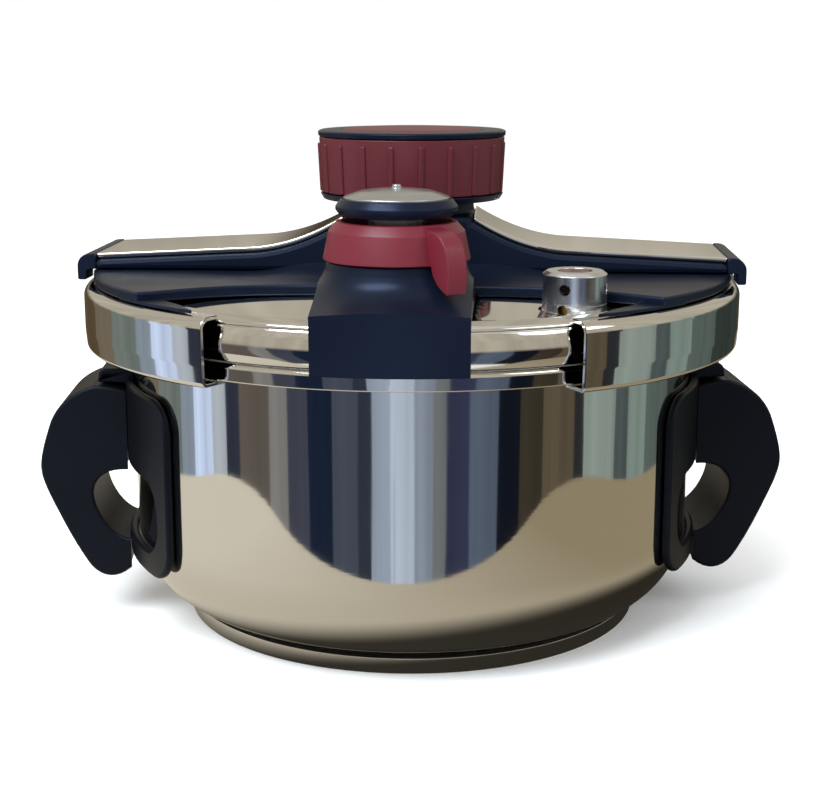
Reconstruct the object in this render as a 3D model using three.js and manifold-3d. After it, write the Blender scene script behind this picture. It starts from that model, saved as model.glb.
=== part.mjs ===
// Stovetop pressure cooker: a pot with two side handles, and a lid held down by two sliding jaws.
// Millimetres, +Z up. The origin is the centre of the underside of the base. The steam valve faces -Y.
import * as THREE from "three";
import { mergeVertices } from "three/addons/utils/BufferGeometryUtils.js";
import Module from "manifold-3d";

const wasm = await Module();
wasm.setup();

// ---- Driving dimensions ----
const GAP = 0.3; // between two pieces that touch on the real object
const SHEET = 1.5; // stainless sheet of the pot, lid and jaws
const FINE = 40; // facets round the large rings
const MEDIUM = 24; // facets round the knob and the steam valve
const SMALL = 16; // facets round shafts and nuts
const TINY = 8; // facets round screws and pins

const POT_R = 112; // outside of the pot's wall
const POT_TOP = 118.8; // top of the pot's rim
const POT_CORNER_R = 32; // rounding between the wall and the bottom
const RIM_OUT = 10; // how far the rim stands out from the wall
const RIM_DROP = 6.7; // how far the rim turns down
const BASE_T = 6; // thickness of the sandwich base
const BASE_IN = 20.5; // from the wall in to the edge of the base
const BASE_WALL = 1; // pressed cap round the base's core

const HANDLE_TURN = 6; // degrees that the pot stands turned under the lid
const PLATE_T = 3.2; // handle base, measured out from the wall
const PLATE_HALF = 65; // half its width across the pot
const PLATE_HEIGHT = 70;
const PLATE_DROP = 21.8; // from the pot's rim down to the plate
const WINDOW_HALF = 58;
const WINDOW_HEIGHT = 28;
const WINDOW_RISE = 9; // from the plate's lower edge up to its window
const PLATE_CORNER_R = 12;
const GRIP_HALF = 22; // half the width of a grip
const GRIP_OUT = 36.3; // how far a grip stands out from the wall
const HOOD_HALF = 19;
const HOOD_RISE = 4; // hood over the plate's top edge
const BRACKET_HALF = 11;
const BRACKET_T = 1.5;
const TONGUE_HALF = 7;
const TONGUE_T = 2;
const HANDLE_SCREW_OUT = 6.5; // from the plate to the screw's axis

const LID_RISE = 14.2; // from the pot's rim to the sunk middle of the lid
const LID_CREST = 2; // height of the raised ring over the middle
const CREST_IN = 6; // from the rim's edge in to the raised ring
const SKIRT_OUT = 2; // skirt outside the rim's edge
const SKIRT_LAP = 4; // how far the skirt runs in behind the jaws
const GASKET_WIDTH = 6.5;

const JAW_OUT = 8; // jaw's back outside the rim's edge
const JAW_HALF_ANGLE = 60;
const LIP_TOP_IN = 1.2; // upper lip, in from the rim's edge
const LIP_LOW_IN = 4.5; // lower lip, in behind the rim's edge
const JAW_TRAVEL = 13;
const ARM_HALF = 14;
const ARM_T = 2;
const ARM_SPARE = 0.6; // to each side of an arm in its channel
const PIN_R = 2.5;
const PIN_START = 13.5; // a cam pin's distance from the axis with the jaws shut
const RIVET_IN = 5.8; // from the jaw's back to its rivets
const RIVET_Y = 8;
const CAM_R = 31;
const CAM_T = 2;
const DRIVE_HALF = 6; // square drive between the knob and the cam
const KNOB_TURN = Math.PI / 2;

const BAR_HALF = 25.6;
const BAR_RISE = 12.5; // from the lid to the top of the bar's ends
const HUMP_RISE = 28; // from the lid to the top of the hump round the knob's stem
const HUMP_HALF = 25.2;
const HUMP_FOOT = 62; // where the bar begins to rise into the hump
const BAR_SLOPE = 3; // rise of the bar from its end to the hump's foot
const TRIM_T = 1.2;
const TRIM_SIDE = 2.2; // how far the trim wraps down at its sides
const TRIM_EDGE = 2.2; // edge of the bar that shows beside the trim
const TRIM_IN = 7; // from the bar's end to the trim
const WING_OUT = 4; // lower housing's wings outside the rim's edge
const WING_T = 4;
const TAIL_T = 1.2; // thin tails of the wings, along the jaws' upper lips
const TAIL_ANGLE = 56.5; // degrees from the bar to a tail's end
const SCREW_X = 40;
const SCREW_IN = 15.5; // from the housing's waist in to its screws

const KNOB_R = 37.5;
const KNOB_RISE = 5; // from the hump to the knob
const KNOB_HEIGHT = 26.9;
const KNOB_RIBS = 20;
const KNOB_WALL = 7.5;
const KNOB_RIM_T = 2.3;
const STEM_R = 24.5;
const STUD_R = 4;

const VALVE_IN = 24; // from the pot's wall in to the steam valve's axis
const COLLAR_R = 24.5;
const COLLAR_RISE = 15; // from the block's top to the collar's
const RING_HEIGHT = 13.7;
const RING_WALL = 5.5;
const LEVER_ANGLE = -52; // degrees from +X, where the selector's lever points
const LEVER_HALF = 3.1;
const BLOCK_SIDE = 2.3; // block outside the collar, to each side
const BLOCK_OUT = 5; // block's front face outside the rim's edge
const BLOCK_RISE = 4.3; // from the lid to the block's top
const BLOCK_DROP = 1.1; // from the pot's rim down to the block's foot
const NOZZLE_BORE = 1.6;
const NOZZLE_R = 5;

const CAGE_IN = 10.4; // from the pot's wall in to the pressure indicator's axis
const CAGE_BACK = 7.6; // from the steam valve's axis back to the pressure indicator's
const CAGE_R = 11.4;
const CAGE_RISE = 15;
const CAGE_WALL = 1.4;
const CAGE_HOLE_R = 2;
const BUTTON_R = 5.7;
const INDICATOR_TRAVEL = 4;

// ---- Sizes that follow from them ----
const BASE_R = POT_R - BASE_IN;
const RIM_R = POT_R + RIM_OUT;
const PLATE_HIGH = POT_TOP - PLATE_DROP;
const PLATE_LOW = PLATE_HIGH - PLATE_HEIGHT;
const WINDOW_LOW = PLATE_LOW + WINDOW_RISE;
const HOOD_TOP = PLATE_HIGH + HOOD_RISE;
const LID_EDGE_R = RIM_R - 0.2;
const LID_LOW = POT_TOP + 0.8;
const LID_TOP = POT_TOP + LID_RISE;
const CREST_R = RIM_R - CREST_IN;
const SKIRT_R = RIM_R + SKIRT_OUT;
const JAW_R = RIM_R + JAW_OUT;
const JAW_LIP_TOP_R = RIM_R - LIP_TOP_IN;
const JAW_LIP_LOW_R = RIM_R - LIP_LOW_IN;
const WING_R = RIM_R + WING_OUT;
const BAR_END = JAW_R;
const BAR_TOP_END = LID_TOP + BAR_RISE;
const BAR_CREST = LID_TOP + HUMP_RISE;
const TRIM_OUT = BAR_END - TRIM_IN;
const TRIM_HALF = BAR_HALF - TRIM_EDGE;
const KNOB_LOW = BAR_CREST + KNOB_RISE;
const KNOB_TOP = KNOB_LOW + KNOB_HEIGHT;
const VALVE_Y = VALVE_IN - POT_R;
const BLOCK_HALF = COLLAR_R + BLOCK_SIDE;
const BLOCK_R = RIM_R + BLOCK_OUT; // front face, concentric with the lid
const BLOCK_LOW = POT_TOP - BLOCK_DROP;
const BLOCK_TOP = LID_TOP + BLOCK_RISE;
const BLOCK_BACK = VALVE_Y + COLLAR_R + 1.3;
const COLLAR_TOP = BLOCK_TOP + COLLAR_RISE;
const RING_TOP = COLLAR_TOP + RING_HEIGHT;
const WAIST = -BLOCK_BACK - 0.7; // half the lower housing's width at its middle
const SCREW_Y = WAIST - SCREW_IN;
const CAGE_Y = VALVE_Y + CAGE_BACK;
const CAGE_X = Math.sqrt((POT_R - CAGE_IN) ** 2 - CAGE_Y ** 2);
const CAGE_TOP = LID_TOP + CAGE_RISE;

// ---- Materials ----
const finish = (color, roughness, metalness) =>
  new THREE.MeshStandardMaterial({ color, roughness, metalness });
const STEEL = finish(0xb9b2a4, 0.08, 1);
const SATIN_STEEL = finish(0xa8a8a6, 0.3, 1);
const ALUMINIUM = finish(0xb0b2b4, 0.4, 1);
const BRASS = finish(0xb08d4a, 0.35, 1);
const BLACK = finish(0x171b28, 0.45, 0);
const RED = finish(0x8f2f38, 0.5, 0);
const SILICONE = finish(0xb9bab8, 0.7, 0);

// ---- Solids ----
const rad = THREE.MathUtils.degToRad;
const v2 = (pairs) => pairs.map(([x, y]) => new THREE.Vector2(x, y));

// A closed three.js geometry as a manifold solid.
function solid(geometry) {
  const bare = geometry.clone();
  bare.deleteAttribute("normal");
  bare.deleteAttribute("uv");
  const merged = mergeVertices(bare, 1e-4);
  const vertProperties = merged.attributes.position.array;
  const triVerts = new Uint32Array(merged.index.array);
  return new wasm.Manifold(new wasm.Mesh({ numProp: 3, vertProperties, triVerts }));
}

// A manifold solid as a named three.js mesh.
function piece(name, body, material) {
  const made = body.getMesh();
  const geometry = new THREE.BufferGeometry();
  geometry.setAttribute("position", new THREE.BufferAttribute(made.vertProperties, 3));
  geometry.setIndex(new THREE.BufferAttribute(made.triVerts, 1));
  geometry.computeVertexNormals();
  const mesh = new THREE.Mesh(geometry, material);
  mesh.name = name;
  return mesh;
}

// A [radius, height] outline turned round Z; it goes up the outside and comes back down the inside.
function turned(outline, facets = FINE) {
  const closed = outline[0][0] > 0 ? [...outline, outline[0]] : outline;
  const geometry = new THREE.LatheGeometry(v2(closed), facets);
  geometry.rotateX(Math.PI / 2);
  return solid(geometry);
}

const disc = (r, low, high, facets = FINE) => turned([[0, low], [r, low], [r, high], [0, high]], facets);

const tube = (inner, outer, low, high, facets = SMALL) =>
  turned([[inner, low], [outer, low], [outer, high], [inner, high]], facets);

const hexNut = (bore, r, low, high) => disc(r, low, high, 6).subtract(disc(bore, low - 1, high + 1, SMALL));

// An outline in plan, raised from low to high.
function raised(shape, low, high, curveSegments = 12) {
  const geometry = new THREE.ExtrudeGeometry(shape, { depth: high - low, bevelEnabled: false, curveSegments });
  geometry.translate(0, 0, low);
  return solid(geometry);
}

// An outline in X and Z, spread half way to each side along Y.
function spreadY(shape, half, curveSegments = 6) {
  const geometry = new THREE.ExtrudeGeometry(shape, { depth: 2 * half, bevelEnabled: false, curveSegments });
  geometry.rotateX(Math.PI / 2);
  geometry.translate(0, half, 0);
  return solid(geometry);
}

// An outline in Y and Z, spread along X.
function spreadX(shape, low, high, curveSegments = 4) {
  const geometry = new THREE.ExtrudeGeometry(shape, { depth: high - low, bevelEnabled: false, curveSegments });
  const basis = new THREE.Matrix4();
  basis.makeBasis(new THREE.Vector3(0, 1, 0), new THREE.Vector3(0, 0, 1), new THREE.Vector3(1, 0, 0));
  geometry.applyMatrix4(basis);
  geometry.translate(low, 0, 0);
  return solid(geometry);
}

const outline = (pairs) => new THREE.Shape(v2(pairs));

function box(x0, x1, y0, y1, z0, z1) {
  const geometry = new THREE.BoxGeometry(x1 - x0, y1 - y0, z1 - z0);
  geometry.translate((x0 + x1) / 2, (y0 + y1) / 2, (z0 + z1) / 2);
  return solid(geometry);
}

function roundedRectangle(x0, x1, y0, y1, r) {
  const shape = new THREE.Shape();
  shape.moveTo(x0 + r, y0);
  shape.lineTo(x1 - r, y0);
  shape.absarc(x1 - r, y0 + r, r, -Math.PI / 2, 0);
  shape.lineTo(x1, y1 - r);
  shape.absarc(x1 - r, y1 - r, r, 0, Math.PI / 2);
  shape.lineTo(x0 + r, y1);
  shape.absarc(x0 + r, y1 - r, r, Math.PI / 2, Math.PI);
  shape.lineTo(x0, y0 + r);
  shape.absarc(x0 + r, y0 + r, r, Math.PI, 1.5 * Math.PI);
  return shape;
}

// A wedge in plan, centred on +X, that reaches past every radius of the object.
function wedge(halfAngle, low, high) {
  const reach = 3 * JAW_R;
  const x = reach * Math.cos(rad(halfAngle));
  const y = reach * Math.sin(rad(halfAngle));
  return raised(outline([[0, 0], [x, -y], [reach, -y], [reach, y], [x, y]]), low, high);
}

const mirrored = (body) => body.rotate([0, 0, 180]);

// ---- Pot ----
const potIn = POT_R - SHEET;
const rimLow = POT_TOP - RIM_DROP;
const potFloor = BASE_T + SHEET;

function potCorner(radius) {
  const steps = 5;
  const centre = BASE_T + POT_CORNER_R;
  const points = [];
  for (let i = 0; i <= steps; i += 1) {
    const a = (i / steps) * (Math.PI / 2);
    points.push([POT_R - POT_CORNER_R + radius * Math.sin(a), centre - radius * Math.cos(a)]);
  }
  return points;
}

function potBody() {
  const round = 2.2;
  const rim = [
    [POT_R, POT_TOP - SHEET - round], [POT_R + round, POT_TOP - SHEET], [RIM_R - SHEET - 1, POT_TOP - SHEET],
    [RIM_R - SHEET, POT_TOP - SHEET - 1], [RIM_R - SHEET, rimLow], [RIM_R, rimLow],
    [RIM_R, POT_TOP - 1.6], [RIM_R - 1.6, POT_TOP], [potIn + 1.6, POT_TOP], [potIn, POT_TOP - 1.6],
  ];
  const inside = potCorner(POT_CORNER_R - SHEET).reverse();
  return turned([[0, BASE_T], ...potCorner(POT_CORNER_R), ...rim, ...inside, [0, potFloor]]);
}

const baseCore = () => disc(BASE_R - BASE_WALL - GAP, BASE_WALL + GAP, BASE_T - GAP);

function baseCap() {
  const lip = BASE_T + 0.3;
  return turned([
    [0, 0], [BASE_R - 1, 0], [BASE_R, 1], [BASE_R, lip], [BASE_R - BASE_WALL, lip],
    [BASE_R - BASE_WALL, BASE_WALL], [0, BASE_WALL],
  ]);
}

// ---- Handles, drawn on the +X side ----
const plateIn = POT_R + GAP + 0.1;
const plateOut = plateIn + PLATE_T;
const gripIn = plateOut + GAP;
const screwX = plateOut + HANDLE_SCREW_OUT;
const behind = POT_R - 12; // blanks start inside the wall and are cut back to it
const tongueTop = PLATE_HIGH - 21;
const tongueLow = tongueTop - TONGUE_T;
const hoodLow = PLATE_HIGH - 2;

// Points measured out from the wall and down from the plate's top edge, as X and Z.
const fromPlate = (out, down) => [POT_R + out, PLATE_HIGH - down];

function gripOutline() {
  const reach = GRIP_OUT;
  const shape = new THREE.Shape();
  shape.moveTo(behind, PLATE_HIGH - 12);
  shape.quadraticCurveTo(...fromPlate(1, 3.5), ...fromPlate(14, 2.5));
  shape.bezierCurveTo(...fromPlate(23, 5), ...fromPlate(29, 9), ...fromPlate(32, 16));
  shape.bezierCurveTo(...fromPlate(34, 23), ...fromPlate(reach, 29), ...fromPlate(reach, 35));
  shape.bezierCurveTo(...fromPlate(reach, 43), ...fromPlate(30, 54), ...fromPlate(23, 69));
  shape.bezierCurveTo(...fromPlate(16, 82), ...fromPlate(9, 83), ...fromPlate(2, 76));
  shape.lineTo(behind, PLATE_HIGH - 67);
  return shape;
}

function fingerOutline() {
  const low = PLATE_HIGH - WINDOW_LOW + 4;
  const high = low - 28.5;
  const shape = new THREE.Shape();
  shape.moveTo(behind, PLATE_HIGH - low);
  shape.lineTo(...fromPlate(4, low));
  shape.bezierCurveTo(...fromPlate(10, low - 2), ...fromPlate(16, low - 13), ...fromPlate(16, low - 19));
  shape.bezierCurveTo(...fromPlate(16, low - 24), ...fromPlate(11, high), ...fromPlate(5, high));
  shape.lineTo(behind, PLATE_HIGH - high);
  return shape;
}

function bracketSpace(spare) {
  const half = BRACKET_HALF + spare;
  return box(behind, plateIn + BRACKET_T + spare, -half, half, tongueTop - 10 - spare, tongueTop + 10 + spare);
}

function tongueSpace(spare) {
  const half = TONGUE_HALF + spare;
  return box(behind, screwX + 8 + spare, -half, half, tongueLow - spare, tongueTop + spare);
}

const pillar = (r, below, above) =>
  disc(r, tongueLow - below, tongueTop + above, TINY).translate([screwX, 0, 0]);

function handleBase() {
  const corner = PLATE_CORNER_R;
  const windowHigh = WINDOW_LOW + WINDOW_HEIGHT;
  const face = roundedRectangle(-PLATE_HALF, PLATE_HALF, PLATE_LOW, PLATE_HIGH, corner);
  face.holes.push(roundedRectangle(-WINDOW_HALF, WINDOW_HALF, WINDOW_LOW, windowHigh, corner));
  const ring = tube(plateIn, plateOut, PLATE_LOW - 1, PLATE_HIGH + 1, FINE);
  const side = outline([
    [behind, hoodLow], [POT_R + 13, hoodLow + 0.6], [POT_R + 12, HOOD_TOP - 1],
    [POT_R + 10.5, HOOD_TOP], [behind, HOOD_TOP],
  ]);
  const hood = spreadY(side, HOOD_HALF).subtract(disc(plateIn, hoodLow - 5, HOOD_TOP + 1));
  return ring
    .intersect(spreadX(face, POT_R / 2, POT_R + 30))
    .add(hood)
    .subtract(bracketSpace(GAP))
    .subtract(tongueSpace(GAP));
}

const handleBracket = () =>
  bracketSpace(0)
    .add(tongueSpace(0))
    .subtract(disc(plateIn, tongueLow - 15, tongueTop + 15))
    .subtract(pillar(2.9, 14, 14));

const handleScrew = () => pillar(2.5, 6, 8).add(pillar(4.4, 7.6, -6.6));

function handleGrip() {
  const under = outline([
    [behind, hoodLow - 0.5], [POT_R + 14, hoodLow + 0.2], [POT_R + 14, HOOD_TOP + 4], [behind, HOOD_TOP + 4],
  ]);
  return spreadY(gripOutline(), GRIP_HALF)
    .subtract(disc(gripIn, 0, HOOD_TOP + 20))
    .subtract(spreadY(fingerOutline(), GRIP_HALF + 1))
    .subtract(spreadY(under, HOOD_HALF + GAP))
    .subtract(tongueSpace(GAP))
    .subtract(pillar(2.9, 14, 9))
    .subtract(pillar(4.8, 14, -6.2));
}

// ---- Lid ----
const crest = LID_TOP + LID_CREST;
const lidUnder = LID_TOP - SHEET;

function lidBody() {
  const low = LID_LOW;
  const wallIn = LID_EDGE_R - SHEET;
  const core = turned([
    [0, lidUnder], [CREST_R - 2.1, lidUnder], [CREST_R - 0.6, crest - SHEET],
    [CREST_R + 0.6, crest - SHEET - 0.1],
    [wallIn - 1.2, LID_TOP - 1.2], [wallIn, LID_TOP - 2.2], [wallIn, low], [LID_EDGE_R, low],
    [LID_EDGE_R, LID_TOP - 0.8], [LID_EDGE_R - 1.8, LID_TOP + 0.4], [CREST_R + 1, crest - 0.2],
    [CREST_R - 0.5, crest], [CREST_R - 1.2, crest - 0.3], [CREST_R - 2.8, LID_TOP], [0, LID_TOP],
  ]);
  const band = turned([
    [LID_EDGE_R - 0.4, low], [SKIRT_R - 0.6, low], [SKIRT_R, low + 0.6], [SKIRT_R, LID_TOP - 4.6],
    [LID_EDGE_R + 0.4, LID_TOP - 1], [LID_EDGE_R - 0.4, LID_TOP - 0.9],
  ]);
  const half = SKIRT_R * Math.cos(rad(JAW_HALF_ANGLE)) + SKIRT_LAP;
  const front = roundedRectangle(-half, half, low - 0.1, LID_TOP + 20, 2.5);
  const skirt = band.intersect(spreadY(front, 2 * SKIRT_R));
  return core
    .add(skirt)
    .subtract(disc(NOZZLE_R + 0.4, low, crest + 1, SMALL).translate([0, VALVE_Y, 0]))
    .subtract(atCage(disc(4.3, low, crest + 1, SMALL)))
    .subtract(screwHoles(2.4, low, crest + 1));
}

function gasket() {
  const low = POT_TOP + 0.4;
  const high = lidUnder - 0.6;
  const out = LID_EDGE_R - SHEET - GAP;
  const inner = out - GASKET_WIDTH;
  return turned([
    [inner, low], [out, low], [out, high], [inner, high], [inner, high - 2.5],
    [out - 2.5, high - 2.5], [out - 2.5, low + 2.5], [inner, low + 2.5],
  ]);
}

// ---- Jaws, drawn on the +X side ----
const jawTop = crest - 0.1;
const jawLow = rimLow - GAP - SHEET;
const armLow = crest + 0.4;
const armTop = armLow + ARM_T;
const camLow = armTop + 0.4;
const camTop = camLow + CAM_T;
const rivetX = JAW_R - RIVET_IN;

function jaw() {
  const inner = JAW_R - SHEET;
  return turned([
    [JAW_LIP_LOW_R, jawLow], [JAW_R - 1.6, jawLow], [JAW_R, jawLow + 1.6], [JAW_R, jawTop - 4],
    [JAW_R - 1.2, jawTop - 1.2], [JAW_R - 4, jawTop], [JAW_LIP_TOP_R, jawTop], [JAW_LIP_TOP_R, jawTop - SHEET],
    [inner - 2.6, jawTop - SHEET], [inner - 0.8, jawTop - SHEET - 0.8], [inner, jawTop - SHEET - 2.6],
    [inner, jawLow + SHEET + 0.6], [inner - 0.6, jawLow + SHEET], [JAW_LIP_LOW_R, jawLow + SHEET],
  ])
    .intersect(wedge(JAW_HALF_ANGLE, jawLow - 1, jawTop + 1))
    .subtract(rivetHoles(2.3, jawTop - 5, jawTop + 1));
}

const rivet = (r, low, high, side) => disc(r, low, high, TINY).translate([rivetX, side * RIVET_Y, 0]);
const rivetHoles = (r, low, high) => rivet(r, low, high, 1).add(rivet(r, low, high, -1));

function arm() {
  const plan = roundedRectangle(PIN_START - PIN_R - 2, JAW_R - 3, -ARM_HALF, ARM_HALF, 2);
  return raised(plan, armLow, armTop, 2)
    .subtract(disc(PIN_R + GAP, armLow - 1, armTop + 1, TINY).translate([PIN_START, 0, 0]))
    .subtract(rivetHoles(2.3, armLow - 1, armTop + 1));
}

const armPin = () => disc(PIN_R, armLow + 0.2, camTop, TINY).translate([PIN_START, 0, 0]);
const jawRivet = (side) =>
  rivet(2, jawTop - SHEET - 0.1, armTop + GAP, side)
    .add(rivet(3.2, armTop + GAP, armTop + 1.5, side));

// ---- Cam and knob ----
// Each slot is a spiral, so that the jaws move the same distance for each degree of the knob.
function camSlot() {
  const half = PIN_R + GAP;
  const rise = JAW_TRAVEL / KNOB_TURN;
  const steps = 10;
  const near = [];
  const far = [];
  for (let i = 0; i <= steps; i += 1) {
    const turn = (i / steps) * KNOB_TURN;
    const r = PIN_START + rise * turn;
    const outward = new THREE.Vector2(Math.cos(turn), -Math.sin(turn));
    const along = new THREE.Vector2(outward.y, -outward.x).multiplyScalar(r).addScaledVector(outward, rise);
    const side = new THREE.Vector2(-along.y, along.x).setLength(half);
    const middle = outward.multiplyScalar(r);
    near.push(middle.clone().add(side));
    far.push(middle.clone().sub(side));
  }
  const slot = raised(new THREE.Shape([...near, ...far.reverse()]), camLow - 1, camTop + 1);
  const end = disc(half + 0.1, camLow - 1, camTop + 1, TINY);
  return slot
    .add(end.translate([PIN_START, 0, 0]))
    .add(end.translate([0, -PIN_START - JAW_TRAVEL, 0]));
}

function camDisc() {
  const drive = DRIVE_HALF + GAP;
  return disc(CAM_R, camLow, camTop)
    .subtract(camSlot())
    .subtract(mirrored(camSlot()))
    .subtract(box(-drive, drive, -drive, drive, camLow - 1, camTop + 1));
}

const hubTop = KNOB_TOP - 17;
const stemTop = KNOB_LOW - 0.4;
const gripLow = KNOB_LOW + 2.4;
const gripBore = KNOB_R - KNOB_WALL;
const gripTop = KNOB_TOP - KNOB_RIM_T - GAP;

function knobBase() {
  const bore = STUD_R + 0.5;
  const spindle = 8.5;
  const well = 12;
  const body = turned([
    [bore, camTop + 0.2], [spindle, camTop + 0.2], [spindle, KNOB_LOW], [KNOB_R - 1.6, KNOB_LOW],
    [KNOB_R - 1.2, gripLow], [gripBore, gripLow], [gripBore, gripTop], [well, gripTop],
    [well, hubTop], [bore, hubTop],
  ], SMALL);
  const drive = box(-DRIVE_HALF, DRIVE_HALF, -DRIVE_HALF, DRIVE_HALF, camLow + 0.1, camTop + 0.3);
  return body.add(drive.subtract(disc(bore, camLow - 1, camTop + 1, SMALL)));
}

function knobGrip() {
  const rib = 1.1 / KNOB_R;
  const tooth = [[-rib - 0.02, KNOB_R - 0.6], [-rib, KNOB_R], [rib, KNOB_R], [rib + 0.02, KNOB_R - 0.6]];
  const points = [];
  for (let i = 0; i < KNOB_RIBS; i += 1) {
    const a = (i / KNOB_RIBS) * 2 * Math.PI;
    tooth.forEach(([turn, r]) => points.push([r * Math.cos(a + turn), r * Math.sin(a + turn)]));
  }
  return raised(outline(points), gripLow + GAP, gripTop).subtract(disc(gripBore + GAP, 0, KNOB_TOP, SMALL));
}

const capR = KNOB_R - 9.9;

function knobRim() {
  const low = gripTop + GAP;
  const inner = capR + 0.4;
  return turned([
    [inner, low], [KNOB_R - 0.6, low], [KNOB_R, low + 0.6],
    [KNOB_R - 0.3, KNOB_TOP - 0.6], [KNOB_R - 1.2, KNOB_TOP], [inner, KNOB_TOP],
  ], MEDIUM);
}

function knobCap() {
  const low = gripTop + GAP;
  return turned([
    [0, low], [capR, low], [capR, KNOB_TOP], [capR - 3.6, KNOB_TOP + 0.5], [0, KNOB_TOP + 1.1],
  ], MEDIUM);
}

const lidStud = () =>
  disc(7, LID_TOP + GAP, crest, SMALL).add(disc(STUD_R, LID_TOP + 1, hubTop + 7.6, SMALL));
const washerTop = hubTop + 1.6;
const knobWasher = () => tube(STUD_R + 0.4, 10, hubTop + GAP, washerTop);
const knobNut = () => hexNut(STUD_R + 0.4, 7.5, washerTop + GAP, washerTop + 5);

// ---- Lid's housings ----
const wingTop = crest + GAP + WING_T;

// The front and back edges of the lower housing are waisted, so that the steel shows beside them.
function wingOutline() {
  const edge = WAIST + 26.5;
  const far = WING_R + 14;
  const quarter = [
    [0, WAIST], [30, WAIST], [45, WAIST + 1.5], [60, WAIST + 3.9],
    [WING_R - 56, WAIST + 7.5], [WING_R - 46, WAIST + 14], [WING_R - 36, WAIST + 21.5], [WING_R - 22, edge],
  ];
  const right = quarter.map(([x, y]) => [x, -y]);
  const back = [...quarter].reverse();
  const left = quarter.slice(1).map(([x, y]) => [-x, y]);
  const front = [...left].reverse().map(([x, y]) => [x, -y]);
  const rightEnd = [[far, -edge], [far, edge]];
  const leftEnd = [[-far, edge], [-far, -edge]];
  return outline([...right, ...rightEnd, ...back, ...left, ...leftEnd, ...front]);
}

// Four thin crescents that lie along the jaws' upper lips and taper towards the jaws' ends.
function wingTails(low) {
  const inside = new THREE.Shape().absellipse(0, 0, WING_R - 17.5, WING_R + 3.6, 0, 2 * Math.PI);
  const sector = wedge(TAIL_ANGLE, low - 1, low + TAIL_T + 1);
  return disc(WING_R, low, low + TAIL_T)
    .intersect(sector.add(mirrored(sector)))
    .subtract(raised(inside, low - 1, low + TAIL_T + 1));
}

function screwHoles(r, low, high) {
  const one = disc(r, low, high, TINY);
  return one
    .translate([SCREW_X, SCREW_Y, 0])
    .add(one.translate([-SCREW_X, SCREW_Y, 0]))
    .add(one.translate([SCREW_X, -SCREW_Y, 0]))
    .add(one.translate([-SCREW_X, -SCREW_Y, 0]));
}

function lowerHousing() {
  const low = crest + GAP;
  const run = WAIST - 9.5 - BAR_HALF;
  const shoulder = [
    [-BAR_HALF - run, wingTop - 0.2], [-BAR_HALF - 0.545 * run, wingTop + 0.9],
    [-BAR_HALF - 0.28 * run, wingTop + 2.6], [-BAR_HALF, BAR_TOP_END - 2.5],
  ];
  const saddle = outline([...shoulder, ...[...shoulder].reverse().map(([y, z]) => [-y, z])]);
  const saddleEnd = WING_R - 48;
  const past = WING_R + 5;
  const armSide = ARM_HALF + ARM_SPARE;
  const channel = box(-past, past, -armSide, armSide, low - 1, armTop + GAP);
  const mouth = box(JAW_R - 18, past, -armSide, armSide, low - 1, wingTop + 1);
  const barSpace = box(-past, past, -BAR_HALF - GAP, BAR_HALF + GAP, wingTop, BAR_CREST);
  return raised(wingOutline(), low, wingTop)
    .intersect(disc(WING_R, low, wingTop))
    .add(wingTails(low))
    .add(spreadX(saddle, -saddleEnd, saddleEnd))
    .subtract(barSpace)
    .subtract(disc(CAM_R + 1, low - 1, camTop + 0.6))
    .subtract(channel)
    .subtract(mouth)
    .subtract(mirrored(mouth))
    .subtract(screwHoles(2.4, low - 1, wingTop - 1));
}

// Height of the steel trim's top along the bar.
function barTop(x) {
  const slope = BAR_SLOPE / (TRIM_OUT - HUMP_FOOT);
  const end = BAR_TOP_END + 0.2;
  if (x >= HUMP_FOOT) return end + slope * (TRIM_OUT - x);
  const t = (HUMP_FOOT - x) / (HUMP_FOOT - HUMP_HALF);
  const foot = end + BAR_SLOPE;
  return foot + (BAR_CREST - foot) * t * t + slope * (HUMP_FOOT - x) * (1 - t);
}

function barCurve(from, to, drop, steps = 7) {
  const points = [];
  for (let i = 0; i <= steps; i += 1) {
    const x = from + (i / steps) * (to - from);
    points.push([x, barTop(x) - drop]);
  }
  return points;
}

function barSide(drop) {
  const low = wingTop + GAP;
  return outline([[0, low], [TRIM_OUT, low], ...barCurve(TRIM_OUT, HUMP_HALF, drop), [0, BAR_CREST - drop]]);
}

function barCap() {
  const low = wingTop + GAP;
  const lip = WING_R + 0.6;
  const foot = crest + 0.4;
  const cap = new THREE.Shape();
  cap.moveTo(TRIM_OUT, low);
  cap.lineTo(lip, low);
  cap.lineTo(lip, foot);
  cap.lineTo(BAR_END, foot);
  cap.lineTo(BAR_END, BAR_TOP_END - 5);
  cap.quadraticCurveTo(BAR_END - 1, BAR_TOP_END - 1, BAR_END - 5, BAR_TOP_END);
  cap.lineTo(TRIM_OUT + GAP, BAR_TOP_END + 0.2);
  cap.lineTo(TRIM_OUT, BAR_TOP_END - 3);
  return spreadY(cap, BAR_HALF);
}

function bridge() {
  const under = camLow - 5;
  const armSide = ARM_HALF + ARM_SPARE;
  const hump = HUMP_HALF - GAP;
  const half = spreadY(barSide(TRIM_T + GAP), TRIM_HALF - TRIM_T - GAP)
    .add(spreadY(barSide(TRIM_SIDE + GAP), TRIM_HALF))
    .add(spreadY(barSide(TRIM_SIDE + GAP + TRIM_EDGE), BAR_HALF))
    .add(barCap());
  return half
    .add(mirrored(half))
    .add(box(-hump, hump, -BAR_HALF, BAR_HALF, wingTop + GAP, BAR_CREST))
    .add(disc(STEM_R, BAR_CREST - 1, stemTop, MEDIUM))
    .subtract(disc(9, under, KNOB_TOP, SMALL))
    .subtract(disc(CAM_R + 1, under, camTop + 0.6))
    .subtract(box(-JAW_R, JAW_R, -armSide, armSide, under, wingTop + 1));
}

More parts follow.
